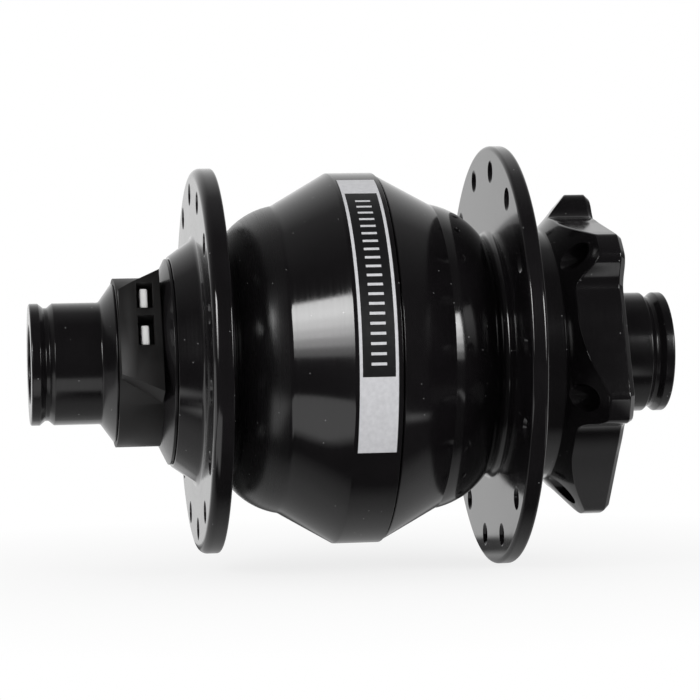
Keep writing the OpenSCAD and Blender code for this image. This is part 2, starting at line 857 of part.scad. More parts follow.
// One lobe of the disc carrier in the frame of at_angle: a steep side at -Z, a long flat at +Z,
// longer at both ends and higher than the carrier that it is cut from
module lobe() {
    reach = lobe_r + lobe_over;
    tip_x = reach - lobe_round;
    tip_z = lobe_steep - lobe_round;
    foot_x = valley_r * 0.9;
    flat_r = valley_r - flat_sink;
    flat_a = atan2(lobe_tip_w, reach) + acos(flat_r / norm([reach, lobe_tip_w]));
    steep_foot = lobe_steep * 1.33;
    length = disc_seat_y - lobe_back_y + 2 * cut;
    translate([0, disc_seat_y + cut, 0]) rotate([90, 0, 0]) linear_extrude(length) {
        translate([tip_x, -tip_z]) circle(r = lobe_round);
        polygon([
            [foot_x, -steep_foot],
            [tip_x, -lobe_steep],
            [tip_x, -tip_z],
            [reach, -tip_z],
            [reach, lobe_tip_w],
            [flat_r * cos(flat_a), flat_r * sin(flat_a)]
        ]);
    }
}

// Six-lobed carrier that the brake disc bolts to
module disc_carrier() {
    intersection() {
        turned() polygon([
            [0, lobe_back_y],
            [carrier_neck_r, lobe_back_y],
            [lobe_r, lobe_tip_y],
            [lobe_r, disc_seat_y - lobe_chamfer],
            [lobe_r - lobe_chamfer, disc_seat_y],
            [0, disc_seat_y]
        ]);
        union() {
            ring(0, valley_r, lobe_back_y - 2 * cut, disc_seat_y + 2 * cut);
            around(rotor_n, lobe_phase) lobe();
        }
    }
}

module disc_shell() {
    outer_face = flange_disc_y + flange_t / 2;
    seat_wall_r = crease_disc_r + (crease_disc_y - iron_seat_y) * disc_slope - shell_wall;
    neck_bore_r = carrier_neck_r - 1.4 * shell_wall;
    stop_y = disc_bearing_y - stop_w;
    groove_y = cap_disc_in - slide_fit;
    color("#101012") difference() {
        union() {
            turned() {
                polygon([
                    [0, joint_y - spigot_l],
                    [spigot_r, joint_y - spigot_l],
                    [spigot_r, joint_y],
                    [cover_cone_r - joint_groove_d, joint_y],
                    [cover_cone_r - joint_groove_d, cone_start_y],
                    [cover_cone_r, cone_start_y],
                    [crease_disc_r - disc_slope * cut, crease_disc_y + cut],
                    [0, crease_disc_y + cut]
                ]);
                translate([0, crease_disc_y]) shoulder_section(crease_disc_r, disc_shoulder_l);
                fillet_section(disc_root_r, disc_face, root_fillet, -1);
                flange_section(flange_disc_d, flange_disc_y);
                fillet_section(carrier_neck_r, outer_face, carrier_fillet, 1);
                translate([0, outer_face]) square([carrier_neck_r, lobe_back_y + cut - outer_face]);
                translate([0, outer_face]) square([pilot_d / 2, disc_seat_y + pilot_h - outer_face]);
            }
            disc_carrier();
        }
        turned() {
            polygon([
                [0, joint_y - spigot_l - cut],
                [iron_seat_r, joint_y - spigot_l - cut],
                [iron_seat_r, iron_seat_y],
                [seat_wall_r, iron_seat_y],
                [crease_disc_r - shell_wall, crease_disc_y],
                [crease_disc_r - shoulder_drop(wall_t) - shell_wall, crease_disc_y + wall_t],
                [neck_bore_r, disc_face],
                [neck_bore_r, stop_y - stop_w],
                [stop_r, stop_y],
                [stop_r, disc_bearing_y],
                [bearing_r + slide_fit, disc_bearing_y],
                [bearing_r + slide_fit, disc_seat_y + pilot_h + cut],
                [0, disc_seat_y + pilot_h + cut]
            ]);
            translate([0, groove_y])
                square([bearing_r + circlip_groove_d + slide_fit, circlip_w + 2 * slide_fit]);
            translate([spigot_r, joint_seal_y])
                square([2 * joint_seal_d, joint_seal_d + 2 * slide_fit], center = true);
        }
        spoke_holes(pcd_disc, flange_disc_y, spoke_phase);
        around(rotor_n, lobe_phase) translate([rotor_pcd / 2, 0, 0])
            rod(rotor_hole_d, lobe_back_y - cut, disc_seat_y + cut);
    }
}

// Round rubber ring in a groove of the disc shell's spigot
module joint_seal() {
    color("black") turned()
        translate([spigot_r - joint_seal_d / 2, joint_seal_y]) circle(d = joint_seal_d, $fn = 24);
}

module back_iron_ring() {
    color("slategray") ring(iron_r0, iron_r1, -stator_end, stator_end);
}

// Curved magnets, one over each claw finger
module magnets() {
    count = 2 * claw_n;
    span = 360 / count - magnet_gap;
    reach = 2 * magnet_r1;
    color("lightgray") intersection() {
        ring(magnet_r0, magnet_r1, -plate_in - claw_plate_t / 2, plate_in + claw_plate_t / 2);
        around(count, groove_angle) translate([0, stator_end, 0]) rotate([90, 0, 0])
            linear_extrude(stator_l) polygon([
                [0, 0],
                [reach * cos(span / 2), -reach * sin(span / 2)],
                [reach * cos(span / 2), reach * sin(span / 2)]
            ]);
    }
}

// Open ring that holds the disc side bearing in its seat
module disc_circlip() {
    inner_r = bearing_r - 2 * circlip_groove_d;
    opening = 5;
    color("darkgray") difference() {
        ring(inner_r, bearing_r + circlip_groove_d, cap_disc_in, cap_disc_in + circlip_w);
        at_angle(lobe_phase) translate([0, cap_disc_in - cut, -opening / 2])
            cube([2 * bearing_r, circlip_w + 2 * cut, opening]);
    }
}

// Rubber seal with a lip that wipes the disc side end cap
module disc_dust_seal() {
    y0 = cap_disc_in + circlip_w + 2 * slide_fit;
    y1 = y0 + seal_w;
    lip_r = cap_r + seal_gap;
    color("#202020") turned() polygon([
        [bearing_r, y0],
        [bearing_r, y1],
        [bearing_r - seal_w / 2, y1],
        [lip_r + seal_w / 2, y0 + seal_w / 2],
        [lip_r, y1],
        [lip_r, y1 - seal_w / 3],
        [lip_r + seal_w / 3, y0]
    ]);
}

axle_tube();
connector_end_cap();
disc_end_cap();
connector_housing();
terminal_upper();
terminal_lower();
lead_strip_upper();
lead_strip_lower();
dust_cover();
connector_spacer();
disc_spacer();
stator_nut_connector();
stator_nut_disc();
claw_pole_connector();
claw_pole_disc();
stator_yoke();
stator_key();
coil_bobbin();
coil_winding();
connector_inner_race();
disc_inner_race();
hub_shell();
disc_shell();
joint_seal();
back_iron_ring();
magnets();
connector_outer_race();
disc_outer_race();
connector_seal_outer();
connector_seal_inner();
disc_seal_inner();
disc_seal_outer();
disc_circlip();
disc_dust_seal();
connector_cage();
connector_balls();
disc_cage();
disc_balls();
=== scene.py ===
# %% [markdown]
# # A wheel hub with a generator inside
# The object is the front hub of a bicycle wheel. Its shell turns on two bearings about a hollow axle,
# and a coil, claw plates and magnets inside make current for a lamp. Every piece was built as a solid
# first, and those solids are the frame of this lesson. Here the outer pieces get fine, smooth skins,
# and all pieces get their finish. Nothing is moved: a skin stands where its solid stands.

# %% Load the frame
import json
import math

import bmesh
import bpy
import numpy as np
from mathutils import Matrix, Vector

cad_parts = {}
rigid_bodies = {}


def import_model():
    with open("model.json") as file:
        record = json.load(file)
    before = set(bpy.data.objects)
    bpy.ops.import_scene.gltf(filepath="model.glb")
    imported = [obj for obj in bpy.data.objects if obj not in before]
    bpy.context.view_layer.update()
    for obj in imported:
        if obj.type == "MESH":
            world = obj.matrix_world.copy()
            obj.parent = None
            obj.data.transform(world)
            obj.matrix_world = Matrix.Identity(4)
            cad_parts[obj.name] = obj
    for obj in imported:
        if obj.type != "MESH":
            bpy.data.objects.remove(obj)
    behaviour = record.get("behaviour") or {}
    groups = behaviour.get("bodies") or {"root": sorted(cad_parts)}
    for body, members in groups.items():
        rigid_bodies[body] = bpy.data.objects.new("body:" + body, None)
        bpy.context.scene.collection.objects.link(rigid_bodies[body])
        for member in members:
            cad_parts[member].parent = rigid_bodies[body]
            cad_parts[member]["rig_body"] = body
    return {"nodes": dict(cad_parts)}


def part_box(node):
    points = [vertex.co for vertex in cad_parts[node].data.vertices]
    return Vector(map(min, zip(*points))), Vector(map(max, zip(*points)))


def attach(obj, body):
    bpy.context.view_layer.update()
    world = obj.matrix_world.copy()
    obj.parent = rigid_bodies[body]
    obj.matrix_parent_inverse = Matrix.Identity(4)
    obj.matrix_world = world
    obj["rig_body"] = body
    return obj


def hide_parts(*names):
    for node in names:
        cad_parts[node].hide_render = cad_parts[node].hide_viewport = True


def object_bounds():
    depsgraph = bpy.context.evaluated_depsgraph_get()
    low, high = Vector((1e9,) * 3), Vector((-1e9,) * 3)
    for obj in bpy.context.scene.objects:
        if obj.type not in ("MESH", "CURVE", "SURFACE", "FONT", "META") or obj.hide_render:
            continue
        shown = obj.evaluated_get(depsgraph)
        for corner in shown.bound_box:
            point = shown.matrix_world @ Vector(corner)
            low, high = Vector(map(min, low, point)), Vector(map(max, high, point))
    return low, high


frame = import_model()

MM = 0.001
cad_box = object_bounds()
print("nodes in the frame:", len(frame["nodes"]))

# %% [markdown]
# ## The camera
# The picture was taken from the side of the hub with a long lens, a little towards the connector end.
# A camera is a place, a direction and a focal length. The direction is given by three angles: yaw about
# the upright, pitch above the horizon and roll about the line of sight. The three axes of the camera
# are worked out from them and put into its matrix, so no tracking constraint is needed.

# %% Camera
CAMERA_PLACE = (0.43278, -0.06700, 0.00708)
CAMERA_YAW = math.radians(8.80)
CAMERA_PITCH = math.radians(-0.7648)
CAMERA_ROLL = math.radians(-1.1078)
FOCAL_PIXELS = 2796.1
PICTURE_PIXELS = 700
SENSOR_MM = 36.0
CLIP_START = 0.01
UPRIGHT = (0.0, 0.0, 1.0)


def camera_axes():
    """Right, up and backward unit vectors of the camera.

    It looks along (-cos(pitch) cos(yaw), cos(pitch) sin(yaw), sin(pitch)), and the roll turns right
    and up about that line.
    """
    ahead = np.array([
        -math.cos(CAMERA_PITCH) * math.cos(CAMERA_YAW),
        math.cos(CAMERA_PITCH) * math.sin(CAMERA_YAW),
        math.sin(CAMERA_PITCH),
    ])
    right = np.cross(ahead, UPRIGHT)
    right /= np.linalg.norm(right)
    up = np.cross(right, ahead)
    cos, sin = math.cos(CAMERA_ROLL), math.sin(CAMERA_ROLL)
    return cos * right + sin * up, cos * up - sin * right, -ahead


def stand(thing, axes, place):
    """Puts an object at a place, with its own x, y and z along three unit vectors."""
    rows = [[*(axis[k] for axis in axes), place[k]] for k in range(3)]
    thing.matrix_world = Matrix(rows + [[0, 0, 0, 1]])


camera = bpy.data.objects.new("camera", bpy.data.cameras.new("camera"))
bpy.context.scene.collection.objects.link(camera)
camera.data.sensor_width = SENSOR_MM
camera.data.lens = FOCAL_PIXELS / PICTURE_PIXELS * SENSOR_MM
camera.data.clip_start = CLIP_START
stand(camera, camera_axes(), CAMERA_PLACE)
bpy.context.scene.camera = camera
print("lens in mm:", round(camera.data.lens, 1))

# %% [markdown]
# ## An outline with rounded corners
# Most of the hub was made on a lathe, so most skins are one outline carried round the axle. The outline
# is a list of corners, each with the rounding that the tool or the polishing left on it. A bevel modifier
# could round the finished mesh, but it would round all edges alike. So every corner becomes an arc here,
# before anything is turned. Lengths are millimetres up to the moment when a mesh is made.

# %% Rounded outlines
ARC_STEP = math.radians(9)
LEAST_TURN = ARC_STEP / 4
LEAST_ARC_POINTS = 3
SIDE_SHARE = 0.96
GUARD, GUARD_SHARE = 0.05, 0.3


def arc_reaches(corners, roundings):
    """How far each corner's arc reaches along its two sides, and what else the arc needs.

    Where the two sides of a corner enclose the angle w, an arc of radius g touches both sides at the
    distance g / tan(w / 2). Two arcs that would not fit on the side between them shrink alike. Returns
    the reaches, the angles w, the directions back and ahead, and the guard distance on each side.
    """
    sides = np.roll(corners, -1, axis=0) - corners
    lengths = np.linalg.norm(sides, axis=1)
    ahead = sides / lengths[:, None]
    behind = -np.roll(ahead, 1, axis=0)
    inside = np.arccos(np.clip(np.sum(ahead * behind, axis=1), -1, 1))
    reach = np.where(math.pi - inside > LEAST_TURN, roundings / np.tan(inside / 2), 0)
    room = SIDE_SHARE * lengths / np.maximum(reach + np.roll(reach, -1), SIDE_SHARE * lengths)
    reach = reach * np.minimum(room, np.roll(room, 1))
    spare = lengths - reach - np.roll(reach, -1)
    return reach, inside, behind, ahead, np.minimum(GUARD, GUARD_SHARE * spare)


def rounded(rows):
    """Closed outline from corners (radius, place along the axle, rounding), in millimetres.

    An arc that reaches the distance d along sides that enclose the angle w has the radius d tan(w / 2),
    and its centre lies on the bisector at d / cos(w / 2). A guard point beside each end keeps the
    straight runs shaded flat. Returns the points and, for each point, the number of its corner.
    """
    table = np.array(rows, float)
    reaches, insides, behind, ahead, guards = arc_reaches(table[:, :2], table[:, 2])
    points, owner = [], []
    for k, here in enumerate(table[:, :2]):
        a, b, reach = behind[k], ahead[k], reaches[k]
        if reach == 0:
            piece = here[None]
        else:
            turn = math.pi - insides[k]
            centre = here + (a + b) / np.linalg.norm(a + b) * reach / math.cos(insides[k] / 2)
            share = np.linspace(0, 1, max(LEAST_ARC_POINTS, math.ceil(turn / ARC_STEP)))[:, None]
            first, last = here + a * reach - centre, here + b * reach - centre
            arc = (np.sin((1 - share) * turn) * first + np.sin(share * turn) * last) / math.sin(turn)
            piece = np.vstack([
                here + a * (reach + guards[k - 1]),
                centre + arc,
                here + b * (reach + guards[k]),
            ])
        points.append(piece)
        owner.append(np.full(len(piece), k))
    return np.vstack(points), np.concatenate(owner)


# %% [markdown]
# ## From a grid to a mesh
# A lathe surface is a function of two parameters: how far along the outline, and how far round the axle.
# Whole arrays of points are worked out at once and handed to the mesh in one go, which is much faster
# than adding points one by one. The sign of the enclosed volume says whether the faces point outwards.

# %% Grids
def angles_round(count):
    """Angles of count equal steps round the axle."""
    return np.arange(count) * 2 * math.pi / count


def round_axle(radius, place, angle):
    """Points round the axle: x = r cos(a), y is the place along it, z = r sin(a)."""
    return np.stack([radius * np.cos(angle), place + 0 * angle, radius * np.sin(angle)], axis=-1)


def turned(outline, steps):
    """Grid of a lathe surface: each point (radius, place) of the outline at each of steps angles."""
    return round_axle(outline[:, 0:1], outline[:, 1:2], angles_round(steps))


def grid_quads(rows, columns):
    """Corner numbers of the quads of a grid that is closed in both directions."""
    i, j = np.arange(rows)[:, None], np.arange(columns)[None]
    i2, j2 = (i + 1) % rows, (j + 1) % columns
    quads = np.stack([i * columns + j, i * columns + j2, i2 * columns + j2, i2 * columns + j], axis=-1)
    return quads.reshape(-1, 4)


def enclosed(points, quads):
    """Six times the volume inside a closed mesh, by summing the tetrahedra to the origin."""
    a, b, c, d = (points[quads[:, k]] for k in range(4))
    return np.sum(a * np.cross(b, c)) + np.sum(a * np.cross(c, d))


# %% Meshes
DOUBLE_GAP, LEAST_EDGE = 0.0004 * MM, 0.0001 * MM


def merge_doubles(mesh, flat_angle=None):
    """Merges corners at the same place, and with an angle also joins faces that lie in one plane."""
    work = bmesh.new()
    work.from_mesh(mesh)
    bmesh.ops.remove_doubles(work, verts=work.verts, dist=DOUBLE_GAP)
    bmesh.ops.dissolve_degenerate(work, edges=work.edges, dist=LEAST_EDGE)
    if flat_angle:
        bmesh.ops.dissolve_limit(work, angle_limit=flat_angle, verts=work.verts, edges=work.edges)
    work.to_mesh(mesh)
    work.free()


def linked(name, data):
    """An object of that mesh or lamp, linked to the scene at the origin."""
    piece = bpy.data.objects.new(name, data)
    bpy.context.scene.collection.objects.link(piece)
    return piece


def mesh_of(name, points, quads):
    """Mesh object from arrays in millimetres, with its faces pointing outwards and doubles merged."""
    if enclosed(points, quads) < 0:
        quads = quads[:, ::-1]
    mesh = bpy.data.meshes.new(name)
    mesh.vertices.add(len(points))
    mesh.vertices.foreach_set("co", (points * MM).ravel())
    mesh.loops.add(quads.size)
    mesh.loops.foreach_set("vertex_index", np.ascontiguousarray(quads, np.int32).ravel())
    mesh.polygons.add(len(quads))
    mesh.polygons.foreach_set("loop_start", np.arange(0, quads.size, 4, dtype=np.int32))
    mesh.update(calc_edges=True)
    merge_doubles(mesh)
    return linked(name, mesh)


def grid_mesh(name, grid):
    """Mesh object of a grid of points that is closed in both directions."""
    return mesh_of(name, grid.reshape(-1, 3), grid_quads(*grid.shape[:2]))


# %% [markdown]
# ## Building blocks of a finish
# A finish is a small network of nodes that ends in one principled shader. The same few steps come back
# in every network: a noise value, a stretch of values mapped to another, a mix of two colours, a sum.
# Each of them gets a helper, so that a finish reads like a recipe. The patterns hang on the object's own
# coordinates, which are the frame's metres, so a size in a recipe is a real size.

# %% Values in a finish
NOISE_LOW, NOISE_HIGH = 0.3, 0.7
PATCH_DETAIL, GRAIN_DETAIL, RING_DETAIL = 2.0, 3.0, 4.0


def noise(tree, vector, size, detail=PATCH_DETAIL):
    """Noise value of a vector socket, with patches of a size in metres."""
    node = tree.nodes.new("ShaderNodeTexNoise")
    node.inputs["Scale"].default_value = 1 / size
    node.inputs["Detail"].default_value = detail
    tree.links.new(vector, node.inputs["Vector"])
    return node.outputs["Fac"]


def between(tree, value, low, high, start=NOISE_LOW, end=NOISE_HIGH):
    """Maps a value from start..end to low..high, and holds it there beyond both ends."""
    node = tree.nodes.new("ShaderNodeMapRange")
    node.inputs["From Min"].default_value = start
    node.inputs["From Max"].default_value = end
    node.inputs["To Min"].default_value = low
    node.inputs["To Max"].default_value = high
    tree.links.new(value, node.inputs["Value"])
    return node.outputs["Result"]


def compute(tree, operation, first, second=None):
    """One math node; an input is a socket or a number."""
    node = tree.nodes.new("ShaderNodeMath")
    node.operation = operation
    for slot, value in zip(node.inputs, (first, second)):
        if isinstance(value, (int, float)):
            slot.default_value = value
        elif value is not None:
            tree.links.new(value, slot)
    return node.outputs["Value"]


def window(tree, value, start, end, soft):
    """1 between start and end, with a soft edge inside each of them, and 0 outside."""
    rise = between(tree, value, 0, 1, start, start + soft)
    fall = between(tree, value, 1, 0, end - soft, end)
    return compute(tree, "MULTIPLY", rise, fall)


# %% Shader, colours and places in a finish
PLAIN_IOR = 1.5


def new_finish(name, metallic=0.0, ior=PLAIN_IOR):
    """A material with a principled shader, its node tree and the shader."""
    finish = bpy.data.materials.new(name)
    finish.use_nodes = True
    shader = finish.node_tree.nodes["Principled BSDF"]
    shader.inputs["Metallic"].default_value = metallic
    shader.inputs["IOR"].default_value = ior
    return finish, finish.node_tree, shader


def blend_colours(tree, value, dark, light):
    """Colour between dark and light by a value; each of the two is a socket or three numbers."""
    node = tree.nodes.new("ShaderNodeMix")
    node.data_type = "RGBA"
    for slot, colour in ((node.inputs["A"], dark), (node.inputs["B"], light)):
        if isinstance(colour, tuple):
            slot.default_value = (*colour, 1.0)
        else:
            tree.links.new(colour, slot)
    tree.links.new(value, node.inputs["Factor"])
    return node.outputs["Result"]


def bump(tree, shader, height, depth):
    """Adds a bump of that depth in metres to the shader."""
    node = tree.nodes.new("ShaderNodeBump")
    node.inputs["Strength"].default_value = 1.0
    node.inputs["Distance"].default_value = depth
    tree.links.new(height, node.inputs["Height"])
    tree.links.new(node.outputs["Normal"], shader.inputs["Normal"])


def object_place(tree):
    """Object coordinates, which are the frame's own coordinates in metres."""
    return tree.nodes.new("ShaderNodeTexCoord").outputs["Object"]


def parts_of(tree, vector):
    """The x, y and z sockets of a vector socket."""
    node = tree.nodes.new("ShaderNodeSeparateXYZ")
    tree.links.new(vector, node.inputs["Vector"])
    return tuple(node.outputs)


# %% [markdown]
# ## Black anodised metal
# Anodised aluminium wears a thin, hard, dark layer over turned metal. It has hardly any colour of its
# own: what the eye sees is the studio in its gloss. So its colour is nearly black, its roughness is low,
# and the fine rings that the lathe left are a bump pattern that depends only on the distance from the
# axle and the place along it. Hands leave smears in the gloss, a few specks of dust lie on it, and the
# shoulder beside the connector side flange has a satin gloss.

# %% Black anodised metal
SHELL_IOR, CAP_IOR = 1.62, PLAIN_IOR
SHELL_ROUGH, CAP_ROUGH = (0.09, 0.13), (0.13, 0.19)
SHELL_RINGS, CAP_RINGS = 0.0008 * MM, 0.0006 * MM
SHELL_COLOURS = (0.0045, 0.004, 0.0045), (0.007, 0.0062, 0.007)
CAP_COLOURS = (0.004, 0.0036, 0.004), (0.0065, 0.0058, 0.0065)
RING_PITCH, RING_ROUGH = 0.45 * MM, (-0.02, 0.03)
SMEAR_SIZE = 9 * MM
DUST_PITCH, DUST_R = 1.9 * MM, 0.085 * MM
DUST_COLOUR = (0.22, 0.22, 0.22)
SATIN_ROUGH = 0.15
SATIN_START, SATIN_END, SATIN_SOFT = -21.8 * MM, -12.2 * MM, 0.6 * MM


def lathe_place(tree):
    """Vector of the distance from the axle and the place along it, the same all the way round."""
    x, y, z = parts_of(tree, object_place(tree))
    squares = compute(tree, "ADD", compute(tree, "MULTIPLY", x, x), compute(tree, "MULTIPLY", z, z))
    join = tree.nodes.new("ShaderNodeCombineXYZ")
    tree.links.new(compute(tree, "SQRT", squares), join.inputs["X"])
    tree.links.new(y, join.inputs["Y"])
    return join.outputs["Vector"]


def dust(tree, place):
    """1 on a few specks of dust: the places within DUST_R of the random points of a 3-D pattern."""
    node = tree.nodes.new("ShaderNodeTexVoronoi")
    node.inputs["Scale"].default_value = 1 / DUST_PITCH
    tree.links.new(place, node.inputs["Vector"])
    return compute(tree, "LESS_THAN", node.outputs["Distance"], DUST_R / DUST_PITCH)


def anodised(name, ior, rough, ring_depth, dark, light):
    """Black anodised metal: rings as a bump and in the gloss, smears, dust and the satin stretch."""
    finish, tree, shader = new_finish(name, ior=ior)
    place, turned_place = object_place(tree), lathe_place(tree)
    rings = noise(tree, turned_place, RING_PITCH, RING_DETAIL)
    smears = noise(tree, place, SMEAR_SIZE, GRAIN_DETAIL)
    metal = blend_colours(tree, between(tree, smears, 0, 1), dark, light)
    dusty = blend_colours(tree, dust(tree, place), metal, DUST_COLOUR)
    tree.links.new(dusty, shader.inputs["Base Color"])
    gloss = compute(tree, "ADD", between(tree, smears, *rough), between(tree, rings, *RING_ROUGH))
    along = parts_of(tree, turned_place)[1]
    stretch = window(tree, along, SATIN_START, SATIN_END, SATIN_SOFT)
    satin = compute(tree, "MULTIPLY", stretch, SATIN_ROUGH)
    tree.links.new(compute(tree, "ADD", gloss, satin), shader.inputs["Roughness"])
    bump(tree, shader, rings, ring_depth)
    return finish


finish_of = {
    "shell_black": anodised("shell_black", SHELL_IOR, SHELL_ROUGH, SHELL_RINGS, *SHELL_COLOURS),
    "cap_black": anodised("cap_black", CAP_IOR, CAP_ROUGH, CAP_RINGS, *CAP_COLOURS),
}
print("anodised finishes:", len(finish_of))

# %% [markdown]
# ## Mottled finishes of the other outer pieces
# The socket is moulded plastic, the dust cover is a smoother plastic, the seals are rubber, the blades
# are tinned and the axle is bare aluminium. None of them is one even colour. So each is mottled: two
# close colours in patches, a roughness that wanders with them, and a grain of the right size as a bump.

# %% Mottled finishes
METAL = 1.0
# A row holds the dark and the light colour, the lowest and highest roughness, the sizes of the patches
# and of the grain and the grain's depth in millimetres, and METAL for a bare metal.
OUTER_FINISHES = {
    "moulded_black": ((0.007, 0.0065, 0.0065), (0.011, 0.010, 0.010), (0.42, 0.5), 4, 0.16, 0.003),
    "cover_black": ((0.007, 0.0065, 0.007), (0.011, 0.010, 0.011), (0.2, 0.26), 5, 0.12, 0.0015),
    "rubber": ((0.010, 0.010, 0.010), (0.018, 0.018, 0.018), (0.5, 0.62), 3, 0.1, 0.004),
    "tinned": ((0.93, 0.93, 0.92), (0.98, 0.98, 0.97), (0.28, 0.36), 1.5, 0.08, 0.002),
    "bare_aluminium": ((0.52, 0.52, 0.53), (0.64, 0.64, 0.65), (0.26, 0.36), 6, 0.2, 0.002, METAL),
}


def mottled(name, dark, light, rough, patch, grain, depth, metallic=0.0):
    """A finish of two close colours in patches, with wandering roughness and a grain bump."""
    finish, tree, shader = new_finish(name, metallic)
    place = object_place(tree)
    wander = noise(tree, place, patch * MM)
    colour = blend_colours(tree, between(tree, wander, 0, 1), dark, light)
    tree.links.new(colour, shader.inputs["Base Color"])
    tree.links.new(between(tree, wander, *rough), shader.inputs["Roughness"])
    bump(tree, shader, noise(tree, place, grain * MM, GRAIN_DETAIL), depth * MM)
    return finish


finish_of.update({name: mottled(name, *row) for name, row in OUTER_FINISHES.items()})
print("outer finishes:", len(finish_of))

# %% [markdown]
# ## The inner pieces
# Bearings, coil, claws and magnets lie inside the shells. Their solids already have the right shape, so
# they keep their own meshes and get a finish each: ground steel, enamelled copper wire, moulded nylon,
# pressed iron, nickel plate and brass.

# %% Finishes of the inner pieces
INNER_FINISHES = {
    "ground_steel": ((0.50, 0.51, 0.53), (0.60, 0.61, 0.63), (0.14, 0.22), 4, 0.1, 0.001, METAL),
    "pressed_iron": ((0.16, 0.16, 0.17), (0.24, 0.24, 0.25), (0.4, 0.55), 5, 0.3, 0.006, METAL),
    "nickel_plate": ((0.55, 0.53, 0.49), (0.66, 0.64, 0.60), (0.22, 0.3), 3, 0.2, 0.002, METAL),
    "enamelled_wire": ((0.42, 0.13, 0.05), (0.58, 0.20, 0.08), (0.25, 0.35), 2, 0.35, 0.03, METAL),
    "white_nylon": ((0.62, 0.59, 0.52), (0.72, 0.69, 0.62), (0.4, 0.5), 5, 0.2, 0.004),
    "cage_nylon": ((0.34, 0.22, 0.09), (0.42, 0.28, 0.12), (0.4, 0.5), 4, 0.2, 0.004),
    "brass": ((0.62, 0.44, 0.16), (0.74, 0.54, 0.22), (0.25, 0.36), 4, 0.2, 0.003, METAL),
    "seal_brown": ((0.10, 0.035, 0.02), (0.15, 0.05, 0.03), (0.45, 0.55), 3, 0.15, 0.003),
    "lead_red": ((0.35, 0.02, 0.015), (0.45, 0.03, 0.02), (0.4, 0.5), 2, 0.1, 0.003),
}
NODES_WITH_FINISH = {
    "ground_steel": [
        "connector_inner_race", "disc_inner_race", "connector_outer_race", "disc_outer_race",
        "connector_balls", "disc_balls", "disc_circlip", "stator_key",
    ],
    "pressed_iron": ["claw_pole_connector", "claw_pole_disc", "stator_yoke", "back_iron_ring"],
    "nickel_plate": ["magnets"],
    "enamelled_wire": ["coil_winding"],
    "white_nylon": ["coil_bobbin"],
    "cage_nylon": ["connector_cage", "disc_cage"],
    "brass": ["stator_nut_connector", "stator_nut_disc"],
    "seal_brown": ["connector_seal_outer", "connector_seal_inner", "disc_seal_inner", "disc_seal_outer"],
    "lead_red": ["lead_strip_upper"],
    "rubber": ["lead_strip_lower", "joint_seal"],
    "bare_aluminium": ["connector_spacer", "disc_spacer"],
}


def put_on(mesh, finish):
    """Gives a mesh one finish, by its name."""
    mesh.materials.clear()
    mesh.materials.append(finish_of[finish])


finish_of.update({name: mottled(name, *row) for name, row in INNER_FINISHES.items()})
for finish, nodes in NODES_WITH_FINISH.items():
    for node in nodes:
        put_on(frame["nodes"][node].data, finish)
print("finishes of the outer and inner pieces:", len(finish_of))

# %% [markdown]
# ## Skins that follow a solid
# A few outer pieces are not turned: the moulded housing of the socket and its blades. Their solids are
# right, but moulded and stamped edges are never knife sharp. A copy of the solid's mesh is merged, its
# flat faces are joined, and a small bevel breaks the edges so that they catch the light. A skin then
# settles in the place of its solid: it rides on the same body, and the solid is no longer shown.

# %% How a skin settles
SHARP = math.radians(32)


def soften(piece):
    """Smooth shading that breaks at the sharp edges."""
    piece.data.shade_smooth()
    piece.data.set_sharp_from_angle(angle=SHARP)


def final_mesh(piece):
    """Applies the modifiers of a piece to its mesh."""
    graph = bpy.context.evaluated_depsgraph_get()
    piece.data = bpy.data.meshes.new_from_object(piece.evaluated_get(graph))
    piece.modifiers.clear()


def settle(piece, node, finish):
    """Lets a finished skin stand for its CAD node, on that node's body and with its finish."""
    soften(piece)
    put_on(piece.data, finish)
    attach(piece, frame["nodes"][node]["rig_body"])
    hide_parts(node)
    print(piece.name, "faces:", len(piece.data.polygons))


# %% Copied skins
FLAT = math.radians(0.6)
BEVEL_ANGLE, BEVEL_SEGMENTS = math.radians(28), 2
HOUSING_EDGE, BLADE_EDGE, AS_BUILT = 0.18, 0.25, 0.0
COPIES = {
    "socket_housing": ("connector_housing", HOUSING_EDGE, "moulded_black"),
    "socket_blade_upper": ("terminal_upper", BLADE_EDGE, "tinned"),
    "socket_blade_lower": ("terminal_lower", BLADE_EDGE, "tinned"),
    "axle_tube_skin": ("axle_tube", AS_BUILT, "bare_aluminium"),
    "dust_seal_skin": ("disc_dust_seal", AS_BUILT, "rubber"),
}


def copied_skin(name, node, edge, finish):
    """Skin from a copy of a node's mesh, with its edges broken by a small bevel in millimetres."""
    mesh = frame["nodes"][node].data.copy()
    mesh.name = name
    merge_doubles(mesh, flat_angle=FLAT)
    piece = linked(name, mesh)
    if edge:
        bevel = piece.modifiers.new("edges", "BEVEL")
        bevel.width = edge * MM
        bevel.segments = BEVEL_SEGMENTS
        bevel.limit_method = "ANGLE"
        bevel.angle_limit = BEVEL_ANGLE
        final_mesh(piece)
    settle(piece, node, finish)


for name, (node, edge, finish) in COPIES.items():
    copied_skin(name, node, edge, finish)

# %% [markdown]
# ## End caps
# The caps are turned from bar: a lip, a groove for pulling them off, and a plain barrel. The one on the
# connector side ends in a flare that meets the socket housing. Their ends and their radius are read off
# the boxes of the solids, and only the small forms have sizes of their own.

# %% End caps
TURN_STEPS = 240
BORE = 6.05
SOCKET = 7.3
CAP_FLOOR = 4.0
LIP, GROOVE, GROOVE_FLAT, GROOVE_DEPTH = 1.4, 2.2, 0.53, 0.7
FLARE_LENGTH, FLARE_ARC = 2.3, 0.5
BORE_EDGE, LIP_EDGE, GROOVE_EDGE, GROOVE_ARC = 0.35, 0.3, 0.22, 0.3
CAP_EDGE, HIDDEN_EDGE = 0.2, 0.1


